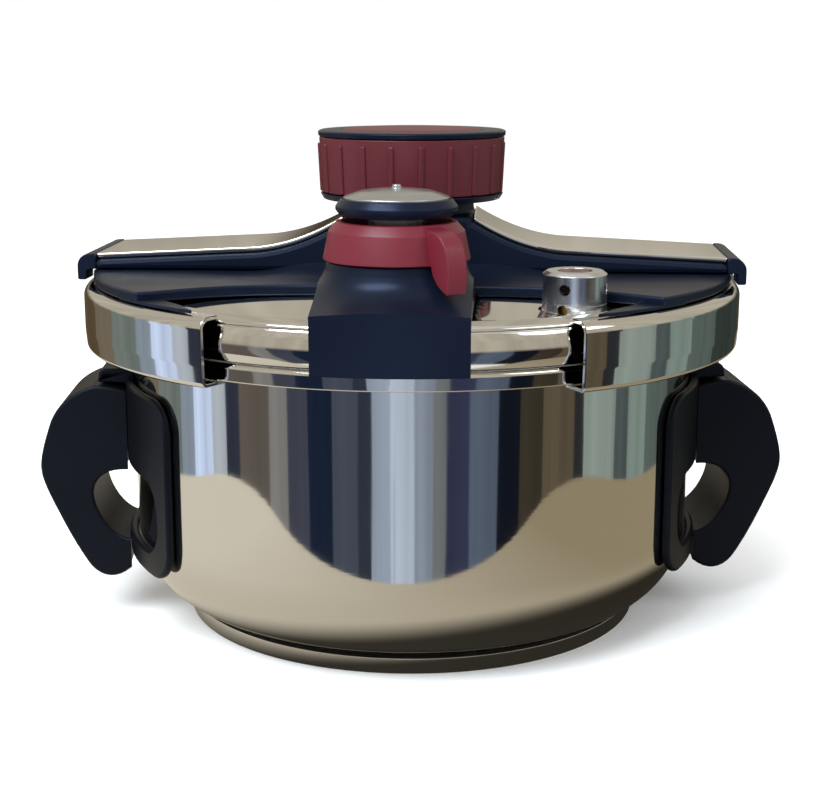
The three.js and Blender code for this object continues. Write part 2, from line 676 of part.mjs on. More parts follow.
function trim() {
  const outer = spreadY(outline([
    ...barCurve(TRIM_OUT, HUMP_HALF, 0), ...barCurve(HUMP_HALF, TRIM_OUT, TRIM_SIDE),
  ]), TRIM_HALF);
  const inner = spreadY(outline([
    ...barCurve(TRIM_OUT + 1, HUMP_HALF - 1, TRIM_T), ...barCurve(HUMP_HALF - 1, TRIM_OUT + 1, TRIM_SIDE + 5),
  ]), TRIM_HALF - TRIM_T);
  return outer.subtract(inner);
}

const housingScrew = (x, y) =>
  disc(2, lidUnder - 1, wingTop - 1.4, TINY)
    .add(disc(4, lidUnder - 2.4, lidUnder - GAP, TINY))
    .translate([x, y, 0]);

// ---- Steam valve, drawn round Z and moved to its own axis ----
const atValve = (body) => body.translate([0, VALVE_Y, 0]);

function lidSpace() {
  const spare = 0.4;
  const below = BLOCK_LOW - 5;
  return turned([
    [0, below], [SKIRT_R + spare, below], [SKIRT_R + spare, LID_TOP - 4.2], [LID_EDGE_R + 1, LID_TOP - 0.2],
    [CREST_R + 1.4, crest + GAP], [CREST_R - 1.6, crest + GAP],
    [CREST_R - 3.4, LID_TOP + GAP], [0, LID_TOP + GAP],
  ]);
}

function valveHousing() {
  const front = -BLOCK_R - 10;
  const plan = outline([
    [-BLOCK_HALF, front], [BLOCK_HALF, front], [BLOCK_HALF, BLOCK_BACK], [-BLOCK_HALF, BLOCK_BACK],
  ]);
  const hollow = [[35.5, 0], [15.5, 0], [9.5, 0.7], [5.5, 2.6], [2.5, 6], [0.7, 10]];
  const sweep = atValve(turned([
    [0, BLOCK_TOP - 4], [COLLAR_R + 35.5, BLOCK_TOP - 4],
    ...hollow.map(([out, up]) => [COLLAR_R + out, BLOCK_TOP + up]),
    [COLLAR_R, COLLAR_TOP], [0, COLLAR_TOP],
  ], MEDIUM));
  return raised(plan, BLOCK_LOW, BLOCK_TOP - 2)
    .add(sweep.intersect(raised(plan, BLOCK_LOW, COLLAR_TOP + 1)))
    .intersect(disc(BLOCK_R, BLOCK_LOW, COLLAR_TOP + 1, 2 * FINE))
    .subtract(lidSpace())
    .subtract(atValve(disc(COLLAR_R - 6.5, LID_TOP, COLLAR_TOP + 1, SMALL)));
}

const nozzleTop = COLLAR_TOP + 5.7;
const nozzleFlange = LID_TOP + 2;
const nozzleHex = 9;

const steamNozzle = () =>
  atValve(tube(NOZZLE_BORE, NOZZLE_R, lidUnder - 8.5, nozzleFlange + 1, SMALL)
    .add(hexNut(NOZZLE_BORE, nozzleHex, nozzleFlange, nozzleFlange + 3))
    .add(tube(NOZZLE_BORE, NOZZLE_R - 1, nozzleFlange, nozzleTop, SMALL)));
const nozzleSeal = () =>
  atValve(tube(NOZZLE_R + 0.4, NOZZLE_R + 3.4, LID_TOP + GAP, nozzleFlange - GAP, SMALL));
const nozzleNut = () => atValve(hexNut(NOZZLE_R + 0.4, nozzleHex, lidUnder - 5, lidUnder - GAP));

// The lever sweeps over the block, so its lower edge stays clear of the block's hollow.
function selector() {
  const low = COLLAR_TOP + 0.4;
  const bore = COLLAR_R - RING_WALL;
  const body = turned([
    [bore, low], [COLLAR_R + 1, low], [COLLAR_R + 0.9, low + 1.6], [COLLAR_R - 1, RING_TOP - 2.5],
    [COLLAR_R - 2.8, RING_TOP], [bore, RING_TOP],
  ], MEDIUM);
  const at = (out, up) => [COLLAR_R + out, COLLAR_TOP + up];
  const fin = new THREE.Shape();
  fin.moveTo(bore + 1, COLLAR_TOP + 1);
  fin.lineTo(...at(1.4, 0.6));
  fin.bezierCurveTo(...at(2.7, -3.8), ...at(5.7, -6.3), ...at(6.3, -9.9));
  fin.quadraticCurveTo(...at(8.9, -11.7), ...at(10.9, -9.3));
  fin.bezierCurveTo(...at(11.9, -1.3), ...at(10.9, RING_HEIGHT - 6), ...at(5, RING_HEIGHT - 3));
  fin.quadraticCurveTo(...at(0.5, RING_HEIGHT - 1), bore + 1, RING_TOP - 0.8);
  const lever = spreadY(fin, LEVER_HALF).subtract(disc(bore, COLLAR_TOP - 20, RING_TOP + 1, SMALL));
  return atValve(body.add(lever.rotate([0, 0, LEVER_ANGLE])));
}

const weightTop = RING_TOP + 0.6;
const discTop = weightTop + 7;
const discR = COLLAR_R - 3.3;
const hub = 5;

const regulatorWeight = () =>
  atValve(disc(10, COLLAR_TOP - 2, weightTop, SMALL)
    .add(disc(hub, weightTop - 1, discTop - 0.6, SMALL))
    .subtract(disc(NOZZLE_R - 0.5, COLLAR_TOP - 3, nozzleTop + GAP, SMALL)));

const regulatorDisc = () =>
  atValve(turned([
    [hub + GAP, weightTop + GAP], [discR - 1.2, weightTop + GAP],
    [discR, weightTop + 1.5], [discR, discTop - 1.6],
    [discR - 2, discTop], [discR - 4.2, discTop], [discR - 4.2, discTop - 0.6], [hub + GAP, discTop - 0.6],
  ], MEDIUM));

function regulatorCap() {
  const edge = discR - 4.5;
  return atValve(turned([
    [0, discTop - GAP], [edge, discTop - GAP], [edge, discTop + 0.6], [edge - 4.7, discTop + 2.6],
    [6, discTop + 3.5], [2.2, discTop + 3.6], [2, discTop + 4.4], [0, discTop + 4.6],
  ], MEDIUM));
}

// ---- Pressure indicator and safety valve ----
const atCage = (body) => body.translate([CAGE_X, CAGE_Y, 0]);

function valveCage() {
  const seam = LID_TOP + 3.9;
  const upper = LID_TOP + 9.4;
  const lower = LID_TOP + 2;
  const mouth = BUTTON_R + 0.4;
  const shape = new THREE.Shape().absarc(0, 0, CAGE_HOLE_R, 0, 2 * Math.PI);
  const hole = spreadY(shape, 2 * CAGE_R, 4);
  return atCage(turned([
    [CAGE_R - CAGE_WALL, LID_TOP + GAP], [CAGE_R, LID_TOP + GAP], [CAGE_R, seam - 0.3], [CAGE_R - 0.4, seam],
    [CAGE_R, seam + 0.3], [CAGE_R, CAGE_TOP - 0.8], [CAGE_R - 0.8, CAGE_TOP], [mouth, CAGE_TOP],
    [mouth, CAGE_TOP - CAGE_WALL], [CAGE_R - CAGE_WALL, CAGE_TOP - CAGE_WALL],
  ], SMALL)
    .subtract(hole.translate([0, 0, upper]).rotate([0, 0, -8]))
    .subtract(hole.translate([0, 0, lower]).rotate([0, 0, -14]))
    .subtract(hole.translate([0, 0, upper]).rotate([0, 0, 82])));
}

const safetyR = 4;
const pinR = 1.7;
const pinBore = pinR + 0.4;
const valveLow = lidUnder - 6;
const sealTop = valveLow - INDICATOR_TRAVEL - GAP;

const valveBody = () =>
  atCage(tube(pinBore, 8.5, LID_TOP + GAP, LID_TOP + 4).add(tube(pinBore, safetyR, valveLow, LID_TOP + 1)));
const valveNut = () => atCage(hexNut(safetyR + 0.4, 8, lidUnder - 4.4, lidUnder - GAP));

function safetySpring() {
  const turns = 3.5;
  const coilR = CAGE_R - 4;
  const low = LID_TOP + 5.2;
  const high = CAGE_TOP - 2.6;
  class Helix extends THREE.Curve {
    getPoint(t) {
      const a = t * turns * 2 * Math.PI;
      return new THREE.Vector3(coilR * Math.cos(a), coilR * Math.sin(a), low + t * (high - low));
    }
  }
  const wire = new THREE.Shape().absarc(0, 0, 0.6, 0, 2 * Math.PI);
  const settings = { steps: 32, curveSegments: 2, extrudePath: new Helix() };
  return atCage(solid(new THREE.ExtrudeGeometry(wire, settings)));
}

const indicatorPin = () =>
  atCage(disc(BUTTON_R, CAGE_TOP - 6, CAGE_TOP - 0.2, SMALL)
    .add(disc(pinR, sealTop - 2.2, CAGE_TOP - 5, TINY)));
const indicatorSeal = () => atCage(tube(pinR + GAP, 3.6, sealTop - 1.6, sealTop, TINY));

// ---- Assembly ----
const cooker = new THREE.Group();
const put = (parent, name, body, material) => parent.add(piece(name, body, material));

const pot = new THREE.Group();
pot.rotation.z = rad(HANDLE_TURN);
put(pot, "pot_body", potBody(), STEEL);
put(pot, "base_core", baseCore(), ALUMINIUM);
put(pot, "base_cap", baseCap(), STEEL);
[["right", (body) => body], ["left", mirrored]].forEach(([side, placed]) => {
  put(pot, "handle_bracket_" + side, placed(handleBracket()), SATIN_STEEL);
  put(pot, "handle_base_" + side, placed(handleBase()), BLACK);
  put(pot, "handle_grip_" + side, placed(handleGrip()), BLACK);
  put(pot, "handle_screw_" + side, placed(handleScrew()), SATIN_STEEL);
});

const lid = new THREE.Group();
put(lid, "lid", lidBody(), STEEL);
put(lid, "gasket", gasket(), SILICONE);
put(lid, "lid_stud", lidStud(), SATIN_STEEL);
put(lid, "knob_washer", knobWasher(), SATIN_STEEL);
put(lid, "knob_nut", knobNut(), SATIN_STEEL);
put(lid, "lower_housing", lowerHousing(), BLACK);
put(lid, "bridge_housing", bridge(), BLACK);
put(lid, "trim_right", trim(), STEEL);
put(lid, "trim_left", mirrored(trim()), STEEL);
const corners = [["front_right", 1, -1], ["front_left", -1, -1], ["back_right", 1, 1], ["back_left", -1, 1]];
corners.forEach(([where, x, y]) => {
  put(lid, "housing_screw_" + where, housingScrew(x * SCREW_X, y * SCREW_Y), SATIN_STEEL);
});
put(lid, "valve_housing", valveHousing(), BLACK);
put(lid, "steam_nozzle", steamNozzle(), SATIN_STEEL);
put(lid, "nozzle_seal", nozzleSeal(), SILICONE);
put(lid, "nozzle_nut", nozzleNut(), SATIN_STEEL);
put(lid, "valve_cage", valveCage(), SATIN_STEEL);
put(lid, "safety_valve_body", valveBody(), BRASS);
put(lid, "safety_valve_nut", valveNut(), SATIN_STEEL);
put(lid, "safety_spring", safetySpring(), SATIN_STEEL);
put(lid, "indicator_pin", indicatorPin(), RED);
put(lid, "indicator_seal", indicatorSeal(), SILICONE);
put(lid, "selector_ring", selector(), RED);
put(lid, "regulator_weight", regulatorWeight(), SATIN_STEEL);
put(lid, "regulator_disc", regulatorDisc(), BLACK);
put(lid, "regulator_cap", regulatorCap(), SATIN_STEEL);

const knob = new THREE.Group();
put(knob, "cam_disc", camDisc(), SATIN_STEEL);
put(knob, "knob_base", knobBase(), BLACK);
put(knob, "knob_grip", knobGrip(), RED);
put(knob, "knob_rim", knobRim(), BLACK);
put(knob, "knob_cap", knobCap(), RED);

const jaws = new THREE.Group();
[["right", (body) => body], ["left", mirrored]].forEach(([side, placed]) => {
  put(jaws, "jaw_" + side, placed(jaw()), STEEL);
  put(jaws, "arm_" + side, placed(arm()), SATIN_STEEL);
  put(jaws, "cam_pin_" + side, placed(armPin()), SATIN_STEEL);
  put(jaws, "jaw_rivet_front_" + side, placed(jawRivet(-1)), SATIN_STEEL);
  put(jaws, "jaw_rivet_back_" + side, placed(jawRivet(1)), SATIN_STEEL);
});

cooker.add(pot, lid, knob, jaws);
export default cooker;
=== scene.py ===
import math

import bpy
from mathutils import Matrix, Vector
from mathutils.geometry import interpolate_bezier


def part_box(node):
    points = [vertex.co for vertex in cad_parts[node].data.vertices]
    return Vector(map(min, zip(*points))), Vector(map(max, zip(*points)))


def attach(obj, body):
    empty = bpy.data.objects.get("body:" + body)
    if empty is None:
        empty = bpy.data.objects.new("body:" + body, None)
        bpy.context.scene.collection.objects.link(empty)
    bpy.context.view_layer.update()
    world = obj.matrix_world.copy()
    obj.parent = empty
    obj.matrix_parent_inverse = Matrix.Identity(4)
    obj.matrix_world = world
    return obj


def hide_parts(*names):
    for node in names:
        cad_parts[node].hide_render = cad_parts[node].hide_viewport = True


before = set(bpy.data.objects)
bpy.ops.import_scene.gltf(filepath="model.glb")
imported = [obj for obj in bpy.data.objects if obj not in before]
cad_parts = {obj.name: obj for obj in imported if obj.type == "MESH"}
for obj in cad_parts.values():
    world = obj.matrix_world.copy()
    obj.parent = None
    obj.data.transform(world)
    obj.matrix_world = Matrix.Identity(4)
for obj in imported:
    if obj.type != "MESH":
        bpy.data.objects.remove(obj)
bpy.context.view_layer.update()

MM = 0.001  # every size below is in millimetres until it reaches a mesh


# ---- Camera ----
# A 70 mm lens at the eye height of someone who steps back from the worktop, a little right of the valve.
# Its small shift puts the pot's axis where that viewer would have framed it.
EYE_DISTANCE, EYE_HEIGHT, EYE_TILT, EYE_ROUND = 640.0, 222.5, 12.5, 3.43

bpy.ops.object.camera_add()
camera = bpy.context.object
camera.name = "camera"
camera.data.lens = 69.73
camera.data.sensor_width = 36
camera.data.shift_x = -0.0005
camera.location = (
    EYE_DISTANCE * MM * math.sin(math.radians(EYE_ROUND)),
    -EYE_DISTANCE * MM * math.cos(math.radians(EYE_ROUND)),
    EYE_HEIGHT * MM,
)
camera.rotation_euler = (math.radians(90 - EYE_TILT), 0, math.radians(EYE_ROUND))
bpy.context.scene.camera = camera
bpy.context.scene.view_settings.view_transform = "Standard"


# ---- Floor, room and light ----
# A pale studio floor under an even white sky. The polished steel needs a kitchen to mirror, so a worktop,
# a room of upright bands and a ceiling stand round the cooker, where only its reflections see them.
def linear(code):
    """An sRGB hex colour as the linear colour that Blender works in."""
    parts = [int(code[i : i + 2], 16) / 255 for i in (1, 3, 5)]
    parts = [p / 12.92 if p <= 0.04045 else ((p + 0.055) / 1.055) ** 2.4 for p in parts]
    return (*parts, 1.0)


def add(tree, kind, inputs=(), **settings):
    """Adds a node with its settings, and fills or links its inputs."""
    made = tree.nodes.new(kind)
    for name, value in settings.items():
        setattr(made, name, value)
    for name, value in dict(inputs).items():
        if isinstance(value, bpy.types.NodeSocket):
            tree.links.new(value, made.inputs[name])
        else:
            made.inputs[name].default_value = value
    return made


def new_material(name):
    """An empty material with its output node."""
    made = bpy.data.materials.new(name)
    made.use_nodes = True
    made.node_tree.nodes.clear()
    return made, made.node_tree, add(made.node_tree, "ShaderNodeOutputMaterial")


world = bpy.data.worlds.new("white_sky")
world.use_nodes = True
world.node_tree.nodes["Background"].inputs["Color"].default_value = (1, 1, 1, 1)
world.node_tree.nodes["Background"].inputs["Strength"].default_value = 1.0
bpy.context.scene.world = world

bpy.ops.mesh.primitive_plane_add(size=8, location=(0, 0, -0.0002))
floor = bpy.context.object
floor.name = "floor"
floor_paint, tree, out = new_material("matt_white_floor")
coat = add(tree, "ShaderNodeBsdfDiffuse", {"Color": linear("#fbfbfa")})
tree.links.new(coat.outputs[0], out.inputs["Surface"])
floor.data.materials.append(floor_paint)
floor.visible_glossy = False

# Each band: the bearing where it begins, in degrees from the front towards the right, and its colour.
ROOM_BANDS = (
    (-180, "#3c3326"), (-158, "#4e4231"), (-132, "#655d50"), (-116, "#66706c"), (-100, "#7f8b99"),
    (-90, "#b4c3e0"), (-80, "#9ba3ad"), (-74, "#2b2f3c"), (-66, "#554f4a"), (-53, "#757474"),
    (-45, "#3a3d4a"), (-36, "#161f31"), (-27, "#3f4552"), (-18, "#2b313e"), (-14, "#8a95a7"),
    (-4, "#a3afc0"), (4, "#77808f"), (11, "#64696c"), (15, "#2c3046"), (25, "#4d5768"), (34, "#10141d"),
    (45, "#342f27"), (53, "#524a3c"), (67, "#26272a"), (73, "#7c8883"), (86, "#465050"),
    (94, "#71807b"), (108, "#4e5956"), (124, "#2c3330"), (150, "#38352b"),
)


def reflected_only(obj):
    """A card that polished surfaces mirror, and that neither shows nor shades anything."""
    obj.visible_camera = False
    obj.visible_diffuse = False
    obj.visible_shadow = False
    obj.visible_transmission = False


bpy.ops.mesh.primitive_cylinder_add(
    vertices=96, radius=1.3, depth=3.2, end_fill_type="NOTHING", location=(0, 0, 0.7),
)
room = bpy.context.object
room.name = "room_walls"
bpy.ops.object.transform_apply(location=True)
room_paint, tree, out = new_material("room_bands")
coords = add(tree, "ShaderNodeTexCoord")
turned_round = add(tree, "ShaderNodeMapping", {
    "Vector": coords.outputs["Object"], "Rotation": (0, 0, math.radians(90)),
})
bearing = add(tree, "ShaderNodeTexGradient", {"Vector": turned_round.outputs[0]}, gradient_type="RADIAL")
streaks = add(tree, "ShaderNodeTexNoise", {
    "Vector": add(tree, "ShaderNodeMapping", {
        "Vector": coords.outputs["Object"], "Scale": (9, 9, 0.6),
    }).outputs[0], "Scale": 1.0, "Detail": 3.0, "Roughness": 0.6,
})
wander = add(tree, "ShaderNodeMath", {0: streaks.outputs[0], 1: 0.03, 2: -0.015}, operation="MULTIPLY_ADD")
where = add(tree, "ShaderNodeMath", {0: bearing.outputs["Fac"], 1: wander.outputs[0]}, operation="ADD")
ramp = add(tree, "ShaderNodeValToRGB", {"Fac": where.outputs[0]})
ramp.color_ramp.interpolation = "CONSTANT"
stops = ramp.color_ramp.elements
while len(stops) > 1:
    stops.remove(stops[-1])
stops[0].position = 0.0
stops[0].color = linear(ROOM_BANDS[0][1])
for angle, code in ROOM_BANDS[1:]:
    stop = stops.new((angle + 180) / 360)
    stop.color = linear(code)
lifted = add(tree, "ShaderNodeMath", {0: streaks.outputs[0], 1: 1.2, 2: 0.75}, operation="MULTIPLY_ADD")
across = add(tree, "ShaderNodeSeparateXYZ", {"Vector": coords.outputs["Object"]})
above = add(tree, "ShaderNodeMapRange", {
    "Value": across.outputs["Z"], "From Min": 0.14, "From Max": 0.3, "To Min": 0.0, "To Max": 1.0,
})
tone = add(tree, "ShaderNodeMix", {
    "Factor": above.outputs[0], "A": ramp.outputs["Color"], "B": linear("#a39d90"),
}, data_type="RGBA")
glow = add(tree, "ShaderNodeEmission", {"Color": tone.outputs["Result"], "Strength": lifted.outputs[0]})
tree.links.new(glow.outputs[0], out.inputs["Surface"])
room.data.materials.append(room_paint)
reflected_only(room)

bpy.ops.mesh.primitive_plane_add(size=1, location=(0, 0.49, 0.0001))
worktop = bpy.context.object
worktop.name = "worktop"
worktop.scale = (0.64, 1.42, 1)
bpy.ops.object.transform_apply(location=True, scale=True)
bpy.ops.object.mode_set(mode="EDIT")
bpy.ops.mesh.select_all(action="DESELECT")
bpy.ops.object.mode_set(mode="OBJECT")
for vertex in worktop.data.vertices:
    vertex.select = vertex.co.y < 0
bpy.ops.object.mode_set(mode="EDIT")
bpy.ops.mesh.bevel(offset=0.12, offset_type="OFFSET", segments=8, affect="VERTICES")
bpy.ops.object.mode_set(mode="OBJECT")
worktop_paint, tree, out = new_material("beige_worktop")
coords = add(tree, "ShaderNodeTexCoord")
across = add(tree, "ShaderNodeSeparateXYZ", {"Vector": coords.outputs["Object"]})
# The card's colour goes darker from left to right.
shade = add(tree, "ShaderNodeMapRange", {
    "Value": across.outputs["X"], "From Min": -0.2, "From Max": 0.2, "To Min": 0.0, "To Max": 1.0,
})
tone = add(tree, "ShaderNodeMix", {
    "Factor": shade.outputs[0], "A": linear("#dcd5c6"), "B": linear("#9a8e75"),
}, data_type="RGBA")
# Painted contact shadow: the card's glow drops to 7 percent within about 0.1 m of the pot's axis, and the
# shadow reaches a little further on the right.
from_axis = add(tree, "ShaderNodeVectorMath", {0: coords.outputs["Object"]}, operation="LENGTH")
contact_shadow_distance = add(tree, "ShaderNodeMath", {
    0: across.outputs["X"], 1: -0.22, 2: from_axis.outputs["Value"],
}, operation="MULTIPLY_ADD")
painted_contact_shadow = add(tree, "ShaderNodeMapRange", {
    "Value": contact_shadow_distance.outputs[0], "From Min": 0.1, "From Max": 0.13, "To Min": 0.07, "To Max": 1.0,
}, interpolation_type="SMOOTHSTEP")
glow = add(tree, "ShaderNodeEmission", {"Color": tone.outputs["Result"], "Strength": painted_contact_shadow.outputs[0]})
tree.links.new(glow.outputs[0], out.inputs["Surface"])
worktop.data.materials.append(worktop_paint)
reflected_only(worktop)

bpy.ops.mesh.primitive_plane_add(size=3.0, location=(0, 0, 2.2))
ceiling = bpy.context.object
ceiling.name = "ceiling"
bpy.ops.object.transform_apply(location=True)
ceiling_paint, tree, out = new_material("beige_ceiling")
coords = add(tree, "ShaderNodeTexCoord")
cloud = add(tree, "ShaderNodeTexNoise", {"Vector": coords.outputs["Object"], "Scale": 1.2, "Detail": 1.0})
tone = add(tree, "ShaderNodeMix", {
    "Factor": cloud.outputs[0], "A": linear("#c9c7c0"), "B": linear("#dfdfdc"),
}, data_type="RGBA")
glow = add(tree, "ShaderNodeEmission", {"Color": tone.outputs["Result"], "Strength": 0.95})
tree.links.new(glow.outputs[0], out.inputs["Surface"])
ceiling.data.materials.append(ceiling_paint)
reflected_only(ceiling)

# A broad soft light over the left shoulder, and a weaker one from the right.
for name, place, size, power in (
    ("key_light", (-0.7, -1.0, 1.5), 1.3, 52.0),
    ("fill_light", (1.1, -0.6, 0.9), 0.8, 4.0),
):
    bpy.ops.object.light_add(type="AREA", location=place)
    light = bpy.context.object
    light.name = name
    light.data.shape = "SQUARE"
    light.data.size = size
    light.data.energy = power
    light.data.color = (0.86, 0.93, 1.0)
    light.rotation_euler = (-Vector(place) + Vector((0, 0, 0.1))).to_track_quat("-Z", "Y").to_euler()


# ---- Pot body ----
# One deep-drawn bowl of 1.5 mm stainless steel, its rim turned out and down for the jaws to hook under.
# It is mirror polished inside and out, and the polishing wheel leaves hair lines that run round it.
def rounded(corners, closed=True, degrees=9):
    """Corners (a, b, radius) as points, with an arc at each one that has a radius."""
    points = []
    for index, corner in enumerate(corners):
        here = Vector(corner[:2])
        radius = corner[2] if len(corner) > 2 else 0
        if not radius:
            points.append(tuple(here))
            continue
        before = (Vector(corners[index - 1][:2]) - here).normalized()
        after = (Vector(corners[(index + 1) % len(corners)][:2]) - here).normalized()
        half = before.angle(after) / 2
        centre = here + (before + after).normalized() * (radius / math.sin(half))
        first = here + before * (radius / math.tan(half)) - centre
        sweep = first.angle_signed(here + after * (radius / math.tan(half)) - centre)
        steps = max(2, math.ceil(abs(sweep) / math.radians(degrees)))
        for step in range(steps + 1):
            turn = -sweep * step / steps
            points.append((
                centre.x + first.x * math.cos(turn) - first.y * math.sin(turn),
                centre.y + first.x * math.sin(turn) + first.y * math.cos(turn),
            ))
    return points


def drawn(name, points, closed=True):
    """A line drawn through points by extruding one vertex, left in edit mode."""
    bpy.ops.object.select_all(action="DESELECT")
    bpy.ops.mesh.primitive_plane_add(size=1)
    made = bpy.context.object
    made.name = made.data.name = name
    bpy.ops.object.mode_set(mode="EDIT")
    bpy.ops.mesh.merge(type="CENTER")
    here = Vector(points[0]) * MM
    bpy.ops.transform.translate(value=here)
    for point in [*points[1:], *points[:1]] if closed else points[1:]:
        step = Vector(point) * MM - here
        bpy.ops.mesh.extrude_vertices_move(TRANSFORM_OT_translate={"value": step})
        here = here + step
    bpy.ops.mesh.select_all(action="SELECT")
    bpy.ops.mesh.remove_doubles(threshold=0.002 * MM)
    return made


def finished(smooth=32):
    """Leaves edit mode with doubles merged, normals out and edges smooth up to that angle."""
    bpy.ops.mesh.select_all(action="SELECT")
    bpy.ops.mesh.remove_doubles(threshold=0.002 * MM)
    bpy.ops.mesh.normals_make_consistent(inside=False)
    bpy.ops.object.mode_set(mode="OBJECT")
    bpy.ops.object.shade_smooth_by_angle(angle=math.radians(smooth))


def turned(name, outline, steps=160, turn=360, smooth=32):
    """An outline of radius and height, spun round Z from +X. A part turn has its two ends filled."""
    made = drawn(name, [(r, 0, z) for r, z in outline])
    bpy.ops.mesh.select_all(action="SELECT")
    bpy.ops.mesh.spin(steps=steps, angle=math.radians(turn), center=(0, 0, 0), axis=(0, 0, -1))
    bpy.ops.mesh.select_all(action="SELECT")
    bpy.ops.mesh.remove_doubles(threshold=0.002 * MM)
    if turn < 360:
        bpy.ops.mesh.select_all(action="SELECT")
        bpy.ops.mesh.fill_holes(sides=0)
    finished(smooth)
    return made


def settled(obj, turn=0, move=(0, 0, 0)):
    """Turns a piece round Z and moves it, and keeps that in its mesh."""
    bpy.ops.object.select_all(action="DESELECT")
    obj.select_set(True)
    bpy.context.view_layer.objects.active = obj
    obj.rotation_euler = (0, 0, math.radians(turn))
    obj.location = Vector(move) * MM
    bpy.ops.object.transform_apply(location=True, rotation=True, scale=True)
    return obj


HANDLE_TURN = 6
pot_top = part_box("pot_body")[1].z / MM
wall_r, sheet, corner_r, rim_r, rim_drop = 112.0, 1.5, 32.0, 122.0, 6.7
base_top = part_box("pot_body")[0].z / MM

pot_body = turned("pot_bowl", rounded([
    (0, base_top), (wall_r, base_top, corner_r), (wall_r, pot_top - sheet, 2.2),
    (rim_r - sheet, pot_top - sheet, 1.0), (rim_r - sheet, pot_top - rim_drop, 0.5),
    (rim_r, pot_top - rim_drop, 0.6), (rim_r, pot_top, 2.4), (wall_r - sheet, pot_top, 1.8),
    (wall_r - sheet, base_top + sheet, corner_r - sheet), (0, base_top + sheet),
], degrees=5), steps=220)

# Mirror-polished 18/10 stainless steel: a clear image of the room, with hair lines and a little finger haze.
polished_steel, tree, out = new_material("polished_stainless_steel")
coords = add(tree, "ShaderNodeTexCoord")
around = add(tree, "ShaderNodeMapping", {"Vector": coords.outputs["Object"], "Scale": (14, 14, 900)})
hairs = add(tree, "ShaderNodeTexNoise", {"Vector": around.outputs[0], "Scale": 1.0, "Detail": 2.0})
haze = add(tree, "ShaderNodeTexNoise", {"Vector": coords.outputs["Object"], "Scale": 28.0, "Detail": 4.0})
rough = add(tree, "ShaderNodeMapRange", {
    "Value": haze.outputs[0], "From Min": 0.35, "From Max": 0.8, "To Min": 0.035, "To Max": 0.085,
})
swell = add(tree, "ShaderNodeTexNoise", {"Vector": coords.outputs["Object"], "Scale": 22.0, "Detail": 0.0})
bump = add(tree, "ShaderNodeBump", {"Height": swell.outputs[0], "Strength": 0.05, "Distance": 0.001})
fine = add(tree, "ShaderNodeBump", {
    "Height": hairs.outputs[0], "Strength": 0.03, "Distance": 0.0001, "Normal": bump.outputs[0],
})
metal = add(tree, "ShaderNodeBsdfPrincipled", {
    "Base Color": linear("#e6e4df"), "Metallic": 1.0, "Roughness": rough.outputs[0],
    "Normal": fine.outputs[0],
})
tree.links.new(metal.outputs[0], out.inputs["Surface"])

pot_body.data.materials.append(polished_steel)
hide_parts("pot_body")
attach(pot_body, "pot")


# ---- Sandwich base ----
# An aluminium disc under the bowl, closed in by a pressed stainless cap 183 mm across that stands on the hob.
# The cap's face has turned rings, its edge is polished, and the core stays out of sight inside.
base_r, base_wall = 91.5, 1.0
rings = []
for ring in range(9):
    at = base_r - 12 - ring * 7
    rings += [(at, base_wall * 0.02), (at - 0.5, 0.35), (at - 1.5, 0.35), (at - 2.0, 0.02)]
base_cap = turned("base_cap_pressing", [
    *[(r, z) for r, z in rounded([(base_r - 6, 0), (base_r, 0, 1.6), (base_r, base_top + 0.3, 0.3),
                                  (base_r - base_wall, base_top + 0.3, 0.3),
                                  (base_r - base_wall, base_wall)])],
    (0, base_wall), (0, 0.02), *reversed(rings),
], steps=200)
base_cap.data.materials.append(polished_steel)
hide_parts("base_cap")
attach(base_cap, "pot")

# Rolled aluminium: dull grey with short lines along the rolling.
aluminium, tree, out = new_material("rolled_aluminium")
coords = add(tree, "ShaderNodeTexCoord")
rolled = add(tree, "ShaderNodeMapping", {"Vector": coords.outputs["Object"], "Scale": (40, 1400, 40)})
lines = add(tree, "ShaderNodeTexNoise", {"Vector": rolled.outputs[0], "Scale": 1.0, "Detail": 3.0})
bump = add(tree, "ShaderNodeBump", {"Height": lines.outputs[0], "Strength": 0.2, "Distance": 0.0001})
metal = add(tree, "ShaderNodeBsdfPrincipled", {
    "Base Color": linear("#cfd1d3"), "Metallic": 1.0, "Roughness": 0.42, "Normal": bump.outputs[0],
})
tree.links.new(metal.outputs[0], out.inputs["Surface"])
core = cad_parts["base_core"]
core.data.materials.clear()
core.data.materials.append(aluminium)


# ---- Handle brackets and screws ----
# A small pressed steel bracket is spot welded to the wall at each side, and its tongue runs into the handle.
# One cross-headed screw comes up from under each grip and clamps grip, base and tongue together.
satin_steel, tree, out = new_material("satin_stainless_steel")
coords = add(tree, "ShaderNodeTexCoord")
grain = add(tree, "ShaderNodeTexNoise", {"Vector": coords.outputs["Object"], "Scale": 900.0, "Detail": 3.0})
rough = add(tree, "ShaderNodeMapRange", {"Value": grain.outputs[0], "To Min": 0.2, "To Max": 0.27})
bump = add(tree, "ShaderNodeBump", {"Height": grain.outputs[0], "Strength": 0.02, "Distance": 0.0001})
metal = add(tree, "ShaderNodeBsdfPrincipled", {
    "Base Color": linear("#dcdee2"), "Metallic": 1.0, "Roughness": rough.outputs[0],
    "Normal": bump.outputs[0],
})
tree.links.new(metal.outputs[0], out.inputs["Surface"])
for side in ("right", "left"):
    for hidden in ("handle_bracket_", "handle_screw_"):
        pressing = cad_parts[hidden + side]
        pressing.data.materials.clear()
        pressing.data.materials.append(satin_steel)


# ---- Handle bases ----
# A wrap-around plate of glass-filled nylon that hugs the wall, with a long window that keeps the handle cool
# and a hood on its top edge that covers the joint with the grip.
def applied(obj, kind, **settings):
    """Adds a modifier to a piece and applies it."""
    bpy.ops.object.select_all(action="DESELECT")
    obj.select_set(True)
    bpy.context.view_layer.objects.active = obj
    bpy.ops.object.modifier_add(type=kind)
    modifier = obj.modifiers[-1]
    for name, value in settings.items():
        setattr(modifier, name, value)
    bpy.ops.object.modifier_apply(modifier=modifier.name)
    return obj


